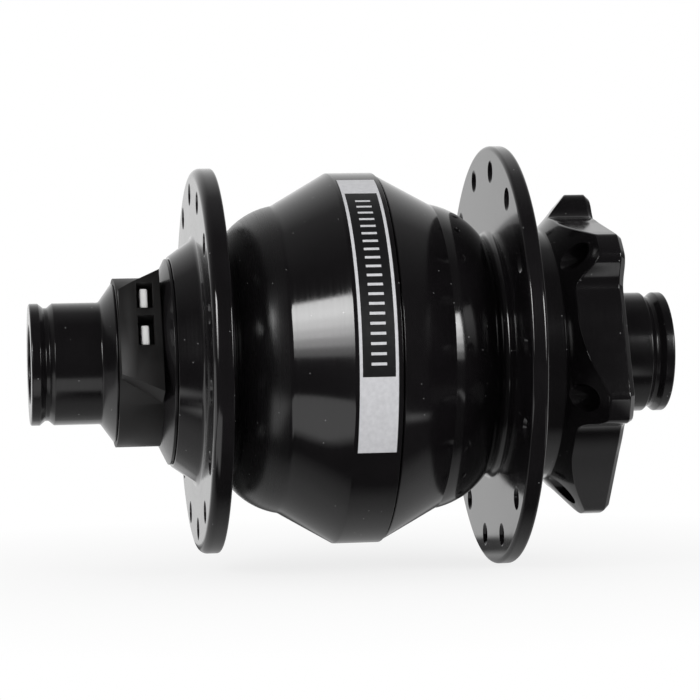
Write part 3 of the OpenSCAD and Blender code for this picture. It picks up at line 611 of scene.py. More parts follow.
def turned_size(node):
    """Largest radius and both ends along the axle of a node, in millimetres, from its box."""
    low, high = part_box(node)
    return max(high.x, high.z) / MM, low.y / MM, high.y / MM


def lathe_skin(name, rows, node, finish):
    """Skin of a turned piece from its corners."""
    outline, _ = rounded(rows)
    settle(grid_mesh(name, turned(outline, TURN_STEPS)), node, finish)


cap_r, disc_cap_in, disc_cap_out = turned_size("disc_end_cap")
flare_r, cap_out, cap_in = turned_size("connector_end_cap")


def cap_rows(tip, inward):
    """Corners of a cap's lip and groove, from the bore at its tip; inward is the direction into the hub."""
    slope = (GROOVE - GROOVE_FLAT) / 2
    return [
        (BORE, tip + inward * CAP_FLOOR, HIDDEN_EDGE),
        (BORE, tip, BORE_EDGE),
        (cap_r, tip, LIP_EDGE),
        (cap_r, tip + inward * LIP, GROOVE_EDGE),
        (cap_r - GROOVE_DEPTH, tip + inward * (LIP + slope), GROOVE_ARC),
        (cap_r - GROOVE_DEPTH, tip + inward * (LIP + slope + GROOVE_FLAT), GROOVE_ARC),
        (cap_r, tip + inward * (LIP + GROOVE), GROOVE_EDGE),
    ]


lathe_skin("connector_cap", cap_rows(cap_out, 1) + [
    (cap_r, cap_in - FLARE_LENGTH, FLARE_ARC),
    (flare_r, cap_in, CAP_EDGE),
    (SOCKET, cap_in, HIDDEN_EDGE),
    (SOCKET, cap_out + CAP_FLOOR, HIDDEN_EDGE),
], "connector_end_cap", "cap_black")
lathe_skin("disc_cap", cap_rows(disc_cap_out, -1) + [
    (cap_r, disc_cap_in, CAP_EDGE),
    (SOCKET, disc_cap_in, HIDDEN_EDGE),
    (SOCKET, disc_cap_out - CAP_FLOOR, HIDDEN_EDGE),
], "disc_end_cap", "cap_black")

# %% [markdown]
# ## Dust cover
# The dust cover is a thin cone between the socket housing and the shell, and it keeps dirt out of the
# bearing behind it. It stands still with the axle. Its wall is drawn with both of its sides, because the
# gap to the turning shell shows its rim.

# %% Dust cover
COVER_SMALL = 13.1
COVER_WALL = 0.8
COVER_WIDTH = 1.83
COVER_RIM = 0.43
COVER_FRONT_EDGE, COVER_RIM_EDGE = 0.15, 0.12
SEAT = 8.55
SPACER = 10.3
cover_r, cover_start, cover_end = turned_size("dust_cover")
cover_rim = cover_start + COVER_WIDTH
lathe_skin("dust_cover_skin", [
    (SEAT, cover_start, HIDDEN_EDGE),
    (COVER_SMALL, cover_start, COVER_FRONT_EDGE),
    (cover_r, cover_rim - COVER_RIM, COVER_RIM_EDGE),
    (cover_r, cover_rim, COVER_RIM_EDGE),
    (cover_r - COVER_WALL, cover_rim, HIDDEN_EDGE),
    (COVER_SMALL - COVER_WALL, cover_start + COVER_WALL, HIDDEN_EDGE),
    (SPACER, cover_start + COVER_WALL, HIDDEN_EDGE),
    (SPACER, cover_end, HIDDEN_EDGE),
    (SEAT, cover_end, HIDDEN_EDGE),
], "dust_cover", "cover_black")

# %% [markdown]
# ## Shoulders and spoke holes
# Both halves of the shell have a rounded shoulder between the flange and the cone. It is an arc that
# starts with a small slope at its crease with the cone. The spoke holes are drilled through the finished
# skin with countersunk cutters, all in one step, which is how a drill jig does it.

# %% Shoulders
FLANGE_CONN, FLANGE_CONN_T = -23.05, 3.09
FLANGE_DISC, FLANGE_DISC_T = 23.22, 2.55
FLANGE_EDGE, FLANGE_OUTER_EDGE, FLANGE_INNER_EDGE = 0.6, 1.3, 0.35
ROOT, ROOT_ARC, ROOT_SINK = 1.5, 1.1, 0.1
SHOULDER_CONN_R, SHOULDER_DISC_R = 11.6, 12.5
SHOULDER_SLOPE = math.radians(10)
SHOULDER_POINTS = 22


def shoulder_rows(crease_r, crease, end, radius):
    """Points of a shoulder from its crease to its end, both places along the axle.

    At the distance t from the crease the radius has dropped by R cos(s) - sqrt(R^2 - (t + R sin(s))^2),
    with R the shoulder's own radius and s its slope at the crease.
    """
    place = np.linspace(crease, end, SHOULDER_POINTS)
    along = np.abs(place - crease) + radius * math.sin(SHOULDER_SLOPE)
    drop = radius * math.cos(SHOULDER_SLOPE) - np.sqrt(radius**2 - along**2)
    return [(crease_r - d, y, 0) for d, y in zip(drop, place)]


# %% Cutters for holes
SPOKES, SPOKE_PHASE = 14, math.radians(81)
SPOKE_R, SPOKE_SINK, SPOKE_EDGE = 1.35, 0.45, 3.85
CUTTER_STEPS, CUT_OVER = 40, 0.2


def round_cutter(name, outline, centres):
    """Cutters along the axle: one small lathe outline carried to each centre (x, y, z).

    The outline starts and ends on the cutter's own axis, so its grid needs no quads from the end back to
    the start.
    """
    grid = turned(np.array(outline, float), CUTTER_STEPS)
    rows, columns = grid.shape[:2]
    single = grid.reshape(-1, 3)
    points = (single[None] + np.array(centres)[:, None]).reshape(-1, 3)
    quads = grid_quads(rows, columns)
    last_row = np.arange(len(quads)) >= (rows - 1) * columns
    quads = quads[~last_row]
    starts = np.arange(len(centres)) * len(single)
    return mesh_of(name, points, (quads[None] + starts[:, None, None]).reshape(-1, 4))


def ring_of(radius, place, count, phase):
    """Centres of a ring of holes round the axle."""
    return round_axle(radius, place, phase + angles_round(count))


def spoke_cutter(name, rim_r, place, thickness, phase):
    """Countersunk cutters for the spoke holes of a flange with that rim."""
    half = thickness / 2 + CUT_OVER
    wide = SPOKE_R + SPOKE_SINK + CUT_OVER
    straight = half - SPOKE_SINK - CUT_OVER
    outline = [(0, -half), (wide, -half), (SPOKE_R, -straight), (SPOKE_R, straight), (wide, half), (0, half)]
    return round_cutter(name, outline, ring_of(rim_r - SPOKE_EDGE, place, SPOKES, phase))


def drill(piece, cutter):
    """Takes the cutter away from the piece and removes the cutter."""
    step = piece.modifiers.new("holes", "BOOLEAN")
    step.operation = "DIFFERENCE"
    step.solver = "EXACT"
    step.object = cutter
    final_mesh(piece)
    bpy.data.objects.remove(cutter)


print("spoke holes in each flange:", SPOKES)

# %% [markdown]
# ## The hub shell
# The shell is the face of the hub: a spoke flange, a rounded shoulder, a cone that widens to the drum
# over the magnets, and the parting edge. It is one turned outline, from the bearing seat over the outside
# to the seat of the iron ring and back, so the skin is closed and has a wall of its own.

# %% Hub shell skin
SHELL_STEPS = 300
BEARING_SEAT, SEAT_EDGE = 15.05, 0.2
BEARING_STOP = 13.4
STOP_WIDTH = 1.5
BEARING_W = 7.0
NECK_TIP, NECK_EDGE = 16.3, 0.25
NECK_FOOT, NECK_FILLET = 19.0, 1.2
CREASE_CONN_R, CREASE_CONN, CREASE_CONN_ARC = 23.92, -12.2, 1.2
DRUM_R, DRUM_START, DRUM_EDGE = 28.9, -3.6, 0.35
PARTING_BACK, PARTING_EDGE = 0.65, 0.08
WALL, WALL_ARC = 2.2, 0.5
IRON_SEAT_R, IRON_SEAT = 25.1, 7.55
DRUM_BORE = 26.55
SPIGOT_LENGTH = 4.05
flange_r, neck_end, joint = turned_size("hub_shell")
parting = joint - PARTING_BACK
bearing_end = cover_end + BEARING_W
outer_face = FLANGE_CONN - FLANGE_CONN_T / 2
inner_face = FLANGE_CONN + FLANGE_CONN_T / 2
shoulder = shoulder_rows(CREASE_CONN_R, CREASE_CONN, inner_face + ROOT, SHOULDER_CONN_R)
root_r = shoulder[-1][0] - ROOT_SINK
hub_rows = [
    (BEARING_SEAT, neck_end, SEAT_EDGE),
    (NECK_TIP, neck_end, NECK_EDGE),
    (NECK_FOOT, outer_face, NECK_FILLET),
    (flange_r, outer_face, FLANGE_OUTER_EDGE),
    (flange_r, inner_face, FLANGE_INNER_EDGE),
    (root_r, inner_face, ROOT_ARC),
    (*shoulder[-1][:2], ROOT_ARC),
    *shoulder[-2:0:-1],
    (CREASE_CONN_R, CREASE_CONN, CREASE_CONN_ARC),
    (DRUM_R, DRUM_START, DRUM_EDGE),
    (DRUM_R, parting, PARTING_EDGE),
    (DRUM_BORE, parting, HIDDEN_EDGE),
    (DRUM_BORE, joint - SPIGOT_LENGTH, HIDDEN_EDGE),
    (IRON_SEAT_R, joint - SPIGOT_LENGTH, HIDDEN_EDGE),
    (IRON_SEAT_R, -IRON_SEAT, HIDDEN_EDGE),
    (CREASE_CONN_R - WALL, CREASE_CONN, WALL_ARC),
    (root_r, CREASE_CONN - 2 * STOP_WIDTH, WALL_ARC),
    (BEARING_STOP, bearing_end + STOP_WIDTH, HIDDEN_EDGE),
    (BEARING_STOP, bearing_end, HIDDEN_EDGE),
    (BEARING_SEAT, bearing_end, HIDDEN_EDGE),
]
hub_outline, _ = rounded(hub_rows)
hub_skin = grid_mesh("hub_shell_skin", turned(hub_outline, SHELL_STEPS))
half_pitch = math.pi / SPOKES
drill(hub_skin, spoke_cutter(
    "spoke_cutter_connector", flange_r, FLANGE_CONN, FLANGE_CONN_T, SPOKE_PHASE + half_pitch))
settle(hub_skin, "hub_shell", "shell_black")

# %% [markdown]
# ## The lobed outline of the disc carrier
# The brake disc is bolted to six lobes. Each lobe has one steep side and one long flat. The outline gives
# a radius for every angle: it is read off one lobe's edge and repeated six times. A short moving average
# softens it, which is the radius that the milling cutter leaves. The outline is sampled more finely than
# the mesh, so that the average is smooth.

# %% Lobed outline
CARRIER_STEPS, FINER = 480, 3
LOBES, LOBE_PHASE = 6, math.radians(43)
LOBE_R, LOBE_OVER, LOBE_ROUND = 25.5, 0.3, 3.0
LOBE_STEEP, LOBE_TIP_W = 3.9, 0.75
LOBE_POINTS = 30
VALLEY_R = 21.35
FLAT_R = 21.25
STEEP_FOOT = LOBE_STEEP * 1.33
FOOT_X = VALLEY_R * 0.9
EDGE_BLUR, ROOT_BLUR = math.radians(1.6), math.radians(6.0)


def straight_run(start, end):
    """Points of a straight line from start to end."""
    share = np.linspace(0, 1, LOBE_POINTS)[:, None]
    return np.array(start) + (np.array(end) - np.array(start)) * share


def lobe_outline(angle):
    """Radius of the lobed outline at each angle.

    The lobe's edge runs from its steep foot to the tip, round a corner arc, across the tip and along the
    flat, which passes the axle at the distance FLAT_R. Seen from the axle its angle only grows, so the
    radius at an angle is read off by interpolation.
    """
    reach = LOBE_R + LOBE_OVER
    tip_x, tip_z = reach - LOBE_ROUND, LOBE_STEEP - LOBE_ROUND
    turn = np.linspace(0, math.pi / 2, LOBE_POINTS)
    flat_angle = math.atan2(LOBE_TIP_W, reach) + math.acos(FLAT_R / math.hypot(reach, LOBE_TIP_W))
    flat_end = (FLAT_R * math.cos(flat_angle), FLAT_R * math.sin(flat_angle))
    edge = np.vstack([
        straight_run((FOOT_X, -STEEP_FOOT), (tip_x, -LOBE_STEEP)),
        np.stack([tip_x + LOBE_ROUND * np.sin(turn), -tip_z - LOBE_ROUND * np.cos(turn)], axis=-1),
        straight_run((reach, -tip_z), (reach, LOBE_TIP_W)),
        straight_run((reach, LOBE_TIP_W), flat_end),
    ])
    pitch = 2 * math.pi / LOBES
    local = (angle - LOBE_PHASE + pitch / 2) % pitch - pitch / 2
    radius = np.interp(local, np.arctan2(edge[:, 1], edge[:, 0]), np.hypot(*edge.T), left=0, right=0)
    return np.clip(radius, VALLEY_R, LOBE_R)


def moving_average(values, half):
    """Average round a closed outline with a raised cosine window that reaches half samples each way."""
    weights = 1 + np.cos(np.linspace(-math.pi, math.pi, 2 * half + 1))
    wrapped = np.concatenate([values[-half:], values, values[:half]])
    return np.convolve(wrapped, weights / weights.sum(), mode="valid")


def softened_outline(steps):
    """The lobed outline sampled at steps angles, with its inner corners filled and its edges eased.

    A wide average lies above the outline only in its inner corners, so the larger of the two fills them.
    """
    angle = angles_round(steps * FINER)
    sharp = lobe_outline(angle)
    wide, narrow = (int(blur / angle[1]) for blur in (ROOT_BLUR, EDGE_BLUR))
    filled = np.maximum(sharp, moving_average(sharp, wide))
    return moving_average(filled, narrow)[::FINER]


lobe_radius = softened_outline(CARRIER_STEPS)
print("carrier radius in mm, from and to:", round(lobe_radius.min(), 2), round(lobe_radius.max(), 2))

# %% [markdown]
# ## The disc side shell
# This half carries the larger flange and, beyond a neck, the carrier with its six lobes. It is a turned
# body whose carrier follows the lobed outline: at every angle the corner between the sloped back and the
# side wall slides in along the back until it meets the outline there. So it is still one grid of two
# parameters, only with an outline whose radius depends on the angle. Corners deep inside, which nobody
# sees, stay sharp to save faces.

# %% Corners of the disc side shell
SPIGOT_R = 26.5
JOINT_GROOVE, JOINT_DEPTH = 0.26, 1.2
CONE_R, CONE_EDGE = 28.6, 0.15
CREASE_DISC_R, CREASE_DISC, CREASE_DISC_ARC = 23.92, 12.4, 0.3
CARRIER_NECK, CARRIER_FILLET = 19.5, 2.5
LOBE_BACK = math.tan(math.radians(48))
LOBE_TIP, LOBE_CHAMFER = 3.9, 0.8
LOBE_FOOT_ARC, LOBE_BACK_EDGE, LOBE_EDGE = 0.6, 0.45, 0.25
PILOT_R, PILOT_H, PILOT_ARC, PILOT_EDGE = 17.475, 0.8, 0.2, 0.25
NECK_BORE = CARRIER_NECK - 1.4 * WALL
CIRCLIP_R, CIRCLIP_W, CIRCLIP_PLAY = 15.85, 1.3, 0.05
disc_flange_r, spigot_end, pilot_end = turned_size("disc_shell")
disc_seat = pilot_end - PILOT_H
disc_face = FLANGE_DISC - FLANGE_DISC_T / 2
disc_outer = FLANGE_DISC + FLANGE_DISC_T / 2
tip_back = disc_seat - LOBE_TIP
lobe_back = tip_back - (LOBE_R - CARRIER_NECK) / LOBE_BACK
disc_shoulder = shoulder_rows(CREASE_DISC_R, CREASE_DISC, disc_face - ROOT, SHOULDER_DISC_R)
disc_root = disc_shoulder[-1][0] - ROOT_SINK
groove = disc_cap_in - CIRCLIP_PLAY
bearing_start = disc_cap_in - BEARING_W
outside_rows = [
    (SPIGOT_R, spigot_end, 0),
    (SPIGOT_R, parting, 0),
    (CONE_R - JOINT_DEPTH, parting, 0),
    (CONE_R - JOINT_DEPTH, parting + JOINT_GROOVE, 0),
    (CONE_R, parting + JOINT_GROOVE, CONE_EDGE),
    (CREASE_DISC_R, CREASE_DISC, CREASE_DISC_ARC),
    *disc_shoulder[1:-1],
    (*disc_shoulder[-1][:2], ROOT_ARC),
    (disc_root, disc_face, ROOT_ARC),
    (disc_flange_r, disc_face, FLANGE_EDGE),
    (disc_flange_r, disc_outer, FLANGE_EDGE),
    (CARRIER_NECK, disc_outer, CARRIER_FILLET),
    (CARRIER_NECK, lobe_back, LOBE_FOOT_ARC),
]
lobe_rows = [
    (LOBE_R, tip_back, LOBE_BACK_EDGE),
    (LOBE_R, disc_seat - LOBE_CHAMFER, LOBE_EDGE),
    (LOBE_R - LOBE_CHAMFER, disc_seat, LOBE_EDGE),
]
inside_rows = [
    (PILOT_R, disc_seat, PILOT_ARC),
    (PILOT_R, pilot_end, PILOT_EDGE),
    (BEARING_SEAT, pilot_end, SEAT_EDGE),
    (BEARING_SEAT, groove + CIRCLIP_W, 0),
    (CIRCLIP_R, groove + CIRCLIP_W, 0),
    (CIRCLIP_R, groove, 0),
    (BEARING_SEAT, groove, 0),
    (BEARING_SEAT, bearing_start, 0),
    (BEARING_STOP, bearing_start, 0),
    (BEARING_STOP, bearing_start - STOP_WIDTH, 0),
    (NECK_BORE, bearing_start - 2 * STOP_WIDTH, 0),
    (NECK_BORE, disc_face, 0),
    (CREASE_DISC_R - WALL, CREASE_DISC, 0),
    (IRON_SEAT_R, IRON_SEAT, 0),
    (IRON_SEAT_R, spigot_end, 0),
]
print("corners of the disc side shell:", len(outside_rows) + len(lobe_rows) + len(inside_rows))


# %% Disc shell skin
def carrier_grid():
    """Grid of the disc side shell: a turned outline whose lobe corners slide in by the outline's inset.

    All points of the lobe corners move by the inset along the radius. Those of the first, at the sloped
    back, also move along the axle by the inset over the slope, and so they stay on the back.
    """
    outline, owner = rounded(outside_rows + lobe_rows + inside_rows)
    grid = turned(outline, CARRIER_STEPS)
    first_lobe = len(outside_rows)
    slide_in = np.isin(owner, np.arange(first_lobe, first_lobe + len(lobe_rows)))[:, None]
    slide_back = (owner == first_lobe)[:, None]
    inset = lobe_radius - LOBE_R
    angle = angles_round(CARRIER_STEPS)
    grid[..., 0] += slide_in * inset * np.cos(angle)
    grid[..., 2] += slide_in * inset * np.sin(angle)
    grid[..., 1] += slide_back * inset / LOBE_BACK
    return grid


BOLT_CIRCLE, BOLT_R, BOLT_SINK, BOLT_OVER = 22.0, 2.1, 0.35, 1.0
bolt_half = (disc_seat - lobe_back) / 2 + BOLT_OVER
bolt_middle = (disc_seat + lobe_back) / 2
bolt_outline = [
    (0, -bolt_half),
    (BOLT_R, -bolt_half),
    (BOLT_R, bolt_half - BOLT_OVER - BOLT_SINK),
    (BOLT_R + BOLT_SINK + BOLT_OVER, bolt_half),
    (0, bolt_half),
]
disc_skin = grid_mesh("disc_shell_skin", carrier_grid())
drill(disc_skin, spoke_cutter(
    "spoke_cutter_disc", disc_flange_r, FLANGE_DISC, FLANGE_DISC_T, SPOKE_PHASE))
bolt_centres = ring_of(BOLT_CIRCLE, bolt_middle, LOBES, LOBE_PHASE)
drill(disc_skin, round_cutter("bolt_cutter", bolt_outline, bolt_centres))
settle(disc_skin, "disc_shell", "shell_black")

# %% [markdown]
# ## The band on the drum
# A printed band is stuck round the front of the drum. Here it stays plain: a dark field with a pale line
# along each edge, a pale blank field at each end and a row of tick marks between. It is a thin bent
# sheet: one parameter runs round the drum and the other across it. Its own map, in millimetres, places
# the print, so the lines keep their width whatever the size of the band.

# %% Sheet of the band
BAND_T = 0.06
BAND_START, BAND_END = math.radians(-28.2), math.radians(71)
BAND_LOW, BAND_HIGH = -3.2, 2.85
BAND_STEPS, BAND_ROWS = 160, 12
band_length = (BAND_END - BAND_START) * DRUM_R


def band_sheet():
    """Closed thin sheet: the upper face lies BAND_T above the drum, the lower face just in the drum.

    A loop of points runs across the upper face and back across the lower one, at every angle. The quads
    from the last angle back to the first are left out, and strips between the faces close both ends.
    """
    angle = np.linspace(BAND_START, BAND_END, BAND_STEPS)
    across = np.linspace(BAND_LOW, BAND_HIGH, BAND_ROWS)
    place = np.concatenate([across, across[::-1]])[:, None]
    radius = np.repeat([DRUM_R + BAND_T, DRUM_R - BAND_T], BAND_ROWS)[:, None]
    sheet = round_axle(radius, place, angle)
    rows, columns = sheet.shape[:2]
    quads = grid_quads(rows, columns)
    seam = np.arange(len(quads)) % columns == columns - 1
    k = np.arange(BAND_ROWS - 1)
    start_strip = np.stack([k, k + 1, rows - 2 - k, rows - 1 - k], axis=-1) * columns
    end_strip = start_strip[:, ::-1] + columns - 1
    return mesh_of("drum_band", sheet.reshape(-1, 3), np.concatenate([quads[~seam], start_strip, end_strip]))


def map_band(band):
    """The band's own map: u in mm round the drum from its start, v in mm across it from its middle."""
    corner = np.zeros(len(band.data.loops), np.int32)
    band.data.loops.foreach_get("vertex_index", corner)
    place = np.zeros(len(band.data.vertices) * 3)
    band.data.vertices.foreach_get("co", place)
    x, y, z = place.reshape(-1, 3)[corner].T / MM
    u = (np.arctan2(z, x) - BAND_START) * DRUM_R
    v = y - (BAND_LOW + BAND_HIGH) / 2
    band.data.uv_layers.new(name="band").data.foreach_set("uv", np.stack([u, v], axis=-1).ravel())


band = band_sheet()
map_band(band)
print("band length in mm:", round(band_length, 1))

# %% Print of the band
EDGE_LINE, EDGE_INSET = 0.45, 0.12
END_FIELD_LOW, END_FIELD_HIGH = 11.8, 5.5
TICK_PITCH, TICK_WIDTH, TICK_HALF, TICK_CLEAR = 1.5, 0.42, 1.15, 1.2
FIELD_DARK = (0.008, 0.008, 0.009)
INK_DARK, INK_LIGHT = (0.54, 0.54, 0.56), (0.62, 0.62, 0.64)
BAND_ROUGH = (0.30, 0.38)
WEAR_SIZE = 0.7 * MM


def pale_print(tree, u, v):
    """1 where the print is pale: end fields, edge lines and ticks, but not the outermost margin."""
    half = (BAND_HIGH - BAND_LOW) / 2
    across = compute(tree, "ABSOLUTE", v)
    printed = compute(tree, "GREATER_THAN", across, half - EDGE_INSET - EDGE_LINE)
    low_field = compute(tree, "LESS_THAN", u, END_FIELD_LOW)
    high_field = compute(tree, "GREATER_THAN", u, band_length - END_FIELD_HIGH)
    tick = compute(tree, "LESS_THAN", compute(tree, "MODULO", u, TICK_PITCH), TICK_WIDTH)
    for limit in (
        compute(tree, "LESS_THAN", across, TICK_HALF),
        compute(tree, "GREATER_THAN", u, END_FIELD_LOW + TICK_CLEAR),
        compute(tree, "LESS_THAN", u, band_length - END_FIELD_HIGH - TICK_CLEAR),
    ):
        tick = compute(tree, "MULTIPLY", tick, limit)
    for shape in (low_field, high_field, tick):
        printed = compute(tree, "MAXIMUM", printed, shape)
    inner = compute(tree, "LESS_THAN", across, half - EDGE_INSET)
    return compute(tree, "MULTIPLY", printed, inner)


def band_print():
    """Finish of the band: pale ink with a little wear on a dark field, placed by the band's own map."""
    finish, tree, shader = new_finish("band_print")
    own = tree.nodes.new("ShaderNodeUVMap")
    own.uv_map = "band"
    u, v, _ = parts_of(tree, own.outputs["UV"])
    wear = noise(tree, object_place(tree), WEAR_SIZE, GRAIN_DETAIL)
    ink = blend_colours(tree, between(tree, wear, 0, 1), INK_DARK, INK_LIGHT)
    colour = blend_colours(tree, pale_print(tree, u, v), FIELD_DARK, ink)
    tree.links.new(colour, shader.inputs["Base Color"])
    tree.links.new(between(tree, wear, *BAND_ROUGH), shader.inputs["Roughness"])
    return finish


soften(band)
band.data.materials.append(band_print())
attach(band, "shell")
print("faces of the band:", len(band.data.polygons))

# %% [markdown]
# ## The table
# A black glossy thing shows the room around it. In the picture a pale table lies under the hub. The
# floor here is plain and pale. It keeps the hub's shadow and fades to white further away. In a gloss it
# glows with painted light and shade laid out like that table: white behind the hub, a painted shade of
# the hub under it and in front of it, three painted bright patches in that shade, and white again past
# the ends of the hub. So the painted shade is a row of levels along X, and the painted bright patches
# and the open table are added to it.

# %% Painted shade of the table in the gloss
TABLE_WHITE = 0.9
# Places along X in metres, from behind the hub to its front, and the painted brightness at each of them:
# white table behind, then the hub's painted shade under and in front of it.
SHADE_EDGES = (-0.055, -0.045, -0.024, -0.014, -0.006, 0.012, 0.0185, 0.0235)
SHADE_LEVELS = (TABLE_WHITE, 0.1, 0.1, 0.53, 0.41, 0.36, 0.23, 0.035)
# Limits of each painted bright patch along X and along Y, in metres.
PAINTED_LIGHT_PATCHES = {
    "left": (0.029, 0.073, -0.076, -0.0245),
    "left_near": (0.021, 0.034, -0.070, -0.043),
    "right": (0.034, 0.080, 0.047, 0.060),
}
PAINTED_PATCH_SOFT = 0.005
# Where the open table starts and is full, outwards along Y, and where it ends towards the camera along X.
OPEN_TABLE = {
    "past_caps": (0.078, 0.090, 0.040, 0.050),
    "behind_flanges": (0.026, 0.034, -0.022, -0.012),
}


def painted_table_in_gloss(tree, place):
    """Painted brightness of the table in a gloss: the painted shade's levels, plus the painted bright
    patches, and at least the open table.
    """
    x, y, _ = parts_of(tree, place)
    level = SHADE_LEVELS[0]
    # Painted shade of the hub, one step of level after another along X.
    for k in range(1, len(SHADE_EDGES)):
        change = SHADE_LEVELS[k] - SHADE_LEVELS[k - 1]
        level = compute(tree, "ADD", between(tree, x, 0, change, SHADE_EDGES[k - 1], SHADE_EDGES[k]), level)
    # Each painted bright patch adds painted light on top of the painted shade.
    for x0, x1, y0, y1 in PAINTED_LIGHT_PATCHES.values():
        painted_patch = compute(
            tree, "MULTIPLY",
            window(tree, x, x0, x1, PAINTED_PATCH_SOFT),
            window(tree, y, y0, y1, PAINTED_PATCH_SOFT))
        level = compute(tree, "ADD", level, compute(tree, "MULTIPLY", painted_patch, TABLE_WHITE))
    outward = compute(tree, "ABSOLUTE", y)
    for start, full, front, end in OPEN_TABLE.values():
        white = compute(
            tree, "MULTIPLY",
            between(tree, outward, 0, TABLE_WHITE, start, full),
            between(tree, x, 1, 0, front, end))
        level = compute(tree, "MAXIMUM", level, white)
    return level


# Counts the painted bright patches, which are painted light in the floor's glow.
print("white cards on the table:", len(PAINTED_LIGHT_PATCHES))

# %% Floor
FLOOR_GAP = 0.05
FLOOR_HALF = 3.0
FLOOR_COLOUR = (0.86, 0.86, 0.86)
FADE_START, FADE_END = 0.02, 0.12
SHADOW_SHARE = 0.22


def ray_kinds(tree):
    """Two sockets: 1 for rays from the camera, and 1 for rays from a gloss or through a clear thing."""
    light = tree.nodes.new("ShaderNodeLightPath").outputs
    gloss = compute(tree, "MAXIMUM", light["Is Glossy Ray"], light["Is Transmission Ray"])
    return light["Is Camera Ray"], gloss


def floor_finish():
    """Pale matt floor with a light shadow near the hub, which fades to plain white further away."""
    finish = bpy.data.materials.new("floor_pale")
    finish.use_nodes = True
    tree = finish.node_tree
    tree.nodes.clear()
    matt = tree.nodes.new("ShaderNodeBsdfDiffuse")
    matt.inputs["Color"].default_value = (*FLOOR_COLOUR, 1.0)
    white = tree.nodes.new("ShaderNodeEmission")
    mix = tree.nodes.new("ShaderNodeMixShader")
    out = tree.nodes.new("ShaderNodeOutputMaterial")
    place = object_place(tree)
    distance = tree.nodes.new("ShaderNodeVectorMath")
    distance.operation = "LENGTH"
    tree.links.new(place, distance.inputs[0])
    camera_ray, gloss = ray_kinds(tree)
    fade = between(tree, distance.outputs["Value"], 1 - SHADOW_SHARE, 1, FADE_START, FADE_END)
    own_light = compute(tree, "MAXIMUM", compute(tree, "MULTIPLY", fade, camera_ray), gloss)
    # For gloss rays the floor glows with the painted shade and the painted bright patches.
    level = compute(tree, "MULTIPLY", painted_table_in_gloss(tree, place), gloss)
    tree.links.new(own_light, mix.inputs["Fac"])
    tree.links.new(compute(tree, "MAXIMUM", level, camera_ray), white.inputs["Strength"])
    tree.links.new(matt.outputs["BSDF"], mix.inputs[1])
    tree.links.new(white.outputs["Emission"], mix.inputs[2])
    tree.links.new(mix.outputs["Shader"], out.inputs["Surface"])
    return finish


floor_height = cad_box[0].z - FLOOR_GAP * MM
floor_corners = [
    (side_x * FLOOR_HALF, side_y * FLOOR_HALF, floor_height)
    for side_x, side_y in ((-1, -1), (1, -1), (1, 1), (-1, 1))
]
floor_mesh = bpy.data.meshes.new("floor")
floor_mesh.from_pydata(floor_corners, [], [(0, 1, 2, 3)])
floor_mesh.materials.append(floor_finish())
floor = linked("floor", floor_mesh)
print("floor height in mm:", round(floor_height / MM, 2))

# %% [markdown]
# ## The studio
# In the picture there is white behind the hub, darkness on the camera's side, a tall soft light to the
# left and one to the right. The world is white for the camera. For gloss it is white behind and dim in
# front, and for everything else it is an even fill. A soft light that is brighter towards its top could
# be a lit card with a gradient, but area lamps give less noise. So each soft light is a stack of six
# strips, each with its own brightness.

# %% World
WORLD_FILL = 0.55
WORLD_FRONT, WORLD_ABOVE, WORLD_BACK = 0.04, 0.2, 1.0
TURN_FRONT, TURN_ABOVE, TURN_BACK = 0.2, -0.4, -1.0


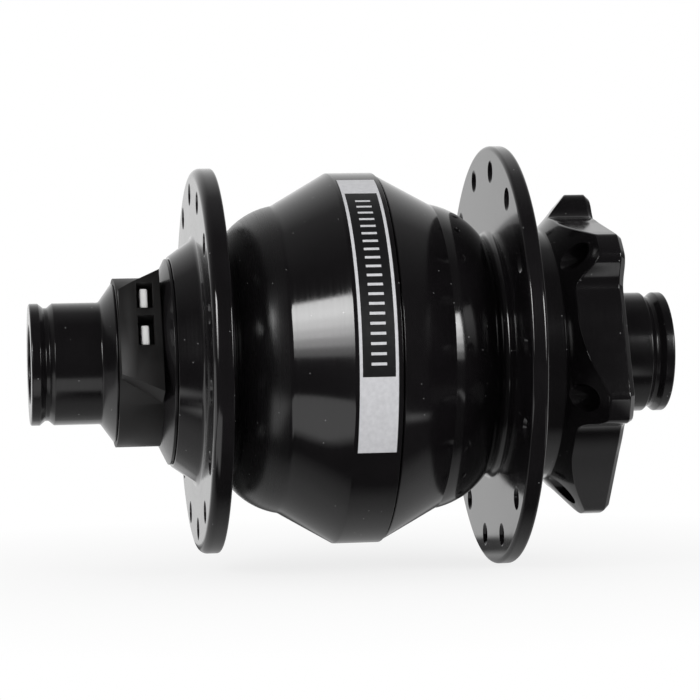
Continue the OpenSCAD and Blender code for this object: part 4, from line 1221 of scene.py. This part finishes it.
def studio_world():
    """White for the camera; for gloss white behind the hub and dim in front; an even fill for the rest."""
    world = bpy.data.worlds.new("studio")
    world.use_nodes = True
    tree = world.node_tree
    ahead, _, _ = parts_of(tree, tree.nodes.new("ShaderNodeTexCoord").outputs["Generated"])
    above = between(tree, ahead, WORLD_ABOVE, WORLD_FRONT, TURN_ABOVE, TURN_FRONT)
    back = between(tree, ahead, WORLD_BACK - WORLD_ABOVE, 0, TURN_BACK, TURN_ABOVE)
    camera_ray, gloss = ray_kinds(tree)
    seen = compute(tree, "MAXIMUM", compute(tree, "ADD", above, back), camera_ray)
    backdrop = compute(tree, "MAXIMUM", camera_ray, gloss)
    fill = compute(tree, "MULTIPLY", compute(tree, "SUBTRACT", 1.0, backdrop), WORLD_FILL)
    strength = compute(tree, "ADD", compute(tree, "MULTIPLY", backdrop, seen), fill)
    shine = tree.nodes["Background"]
    shine.inputs["Color"].default_value = (1.0, 1.0, 1.0, 1.0)
    tree.links.new(strength, shine.inputs["Strength"])
    return world


bpy.context.scene.world = studio_world()
bpy.context.scene.view_settings.view_transform = "Standard"
print("nodes in the world:", len(bpy.context.scene.world.node_tree.nodes))

# %% Soft lights
LAMP_DISTANCE = 0.6
STRIP_RADIANCE = (1.4, 3.8, 6.6, 8.9, 10.7, 10.2)
STRIP_STEP = 5.0
STRIP_WIDTH = 0.17
STRIP_HEIGHT = 2 * LAMP_DISTANCE * math.tan(math.radians(STRIP_STEP / 2))
# Azimuth and lowest elevation of each soft light, in degrees.
SOFT_LIGHTS = {
    "soft_left": (-52.5, 4.0),
    "soft_right": (33.5, 0.8),
}


def strip_lamp(name, azimuth, elevation, radiance):
    """One strip that faces the hub; azimuth counts from +X towards +Y, both angles in degrees.

    A flat lamp of the area A with the radiance L gives the power pi A L.
    """
    lamp = bpy.data.lights.new(name, "AREA")
    lamp.shape = "RECTANGLE"
    lamp.size, lamp.size_y = STRIP_WIDTH, STRIP_HEIGHT
    lamp.energy = radiance * math.pi * STRIP_WIDTH * STRIP_HEIGHT
    a, e = math.radians(azimuth), math.radians(elevation)
    outward = np.array([math.cos(e) * math.cos(a), math.cos(e) * math.sin(a), math.sin(e)])
    side = np.cross(UPRIGHT, outward)
    side /= np.linalg.norm(side)
    piece = linked(name, lamp)
    stand(piece, (side, np.cross(outward, side), outward), outward * LAMP_DISTANCE)
    piece.visible_camera = False


for name, (azimuth, lowest) in SOFT_LIGHTS.items():
    for level, radiance in enumerate(STRIP_RADIANCE):
        strip_lamp(f"{name}_{level}", azimuth, lowest + level * STRIP_STEP, radiance)
print("strips in each soft light:", len(STRIP_RADIANCE))
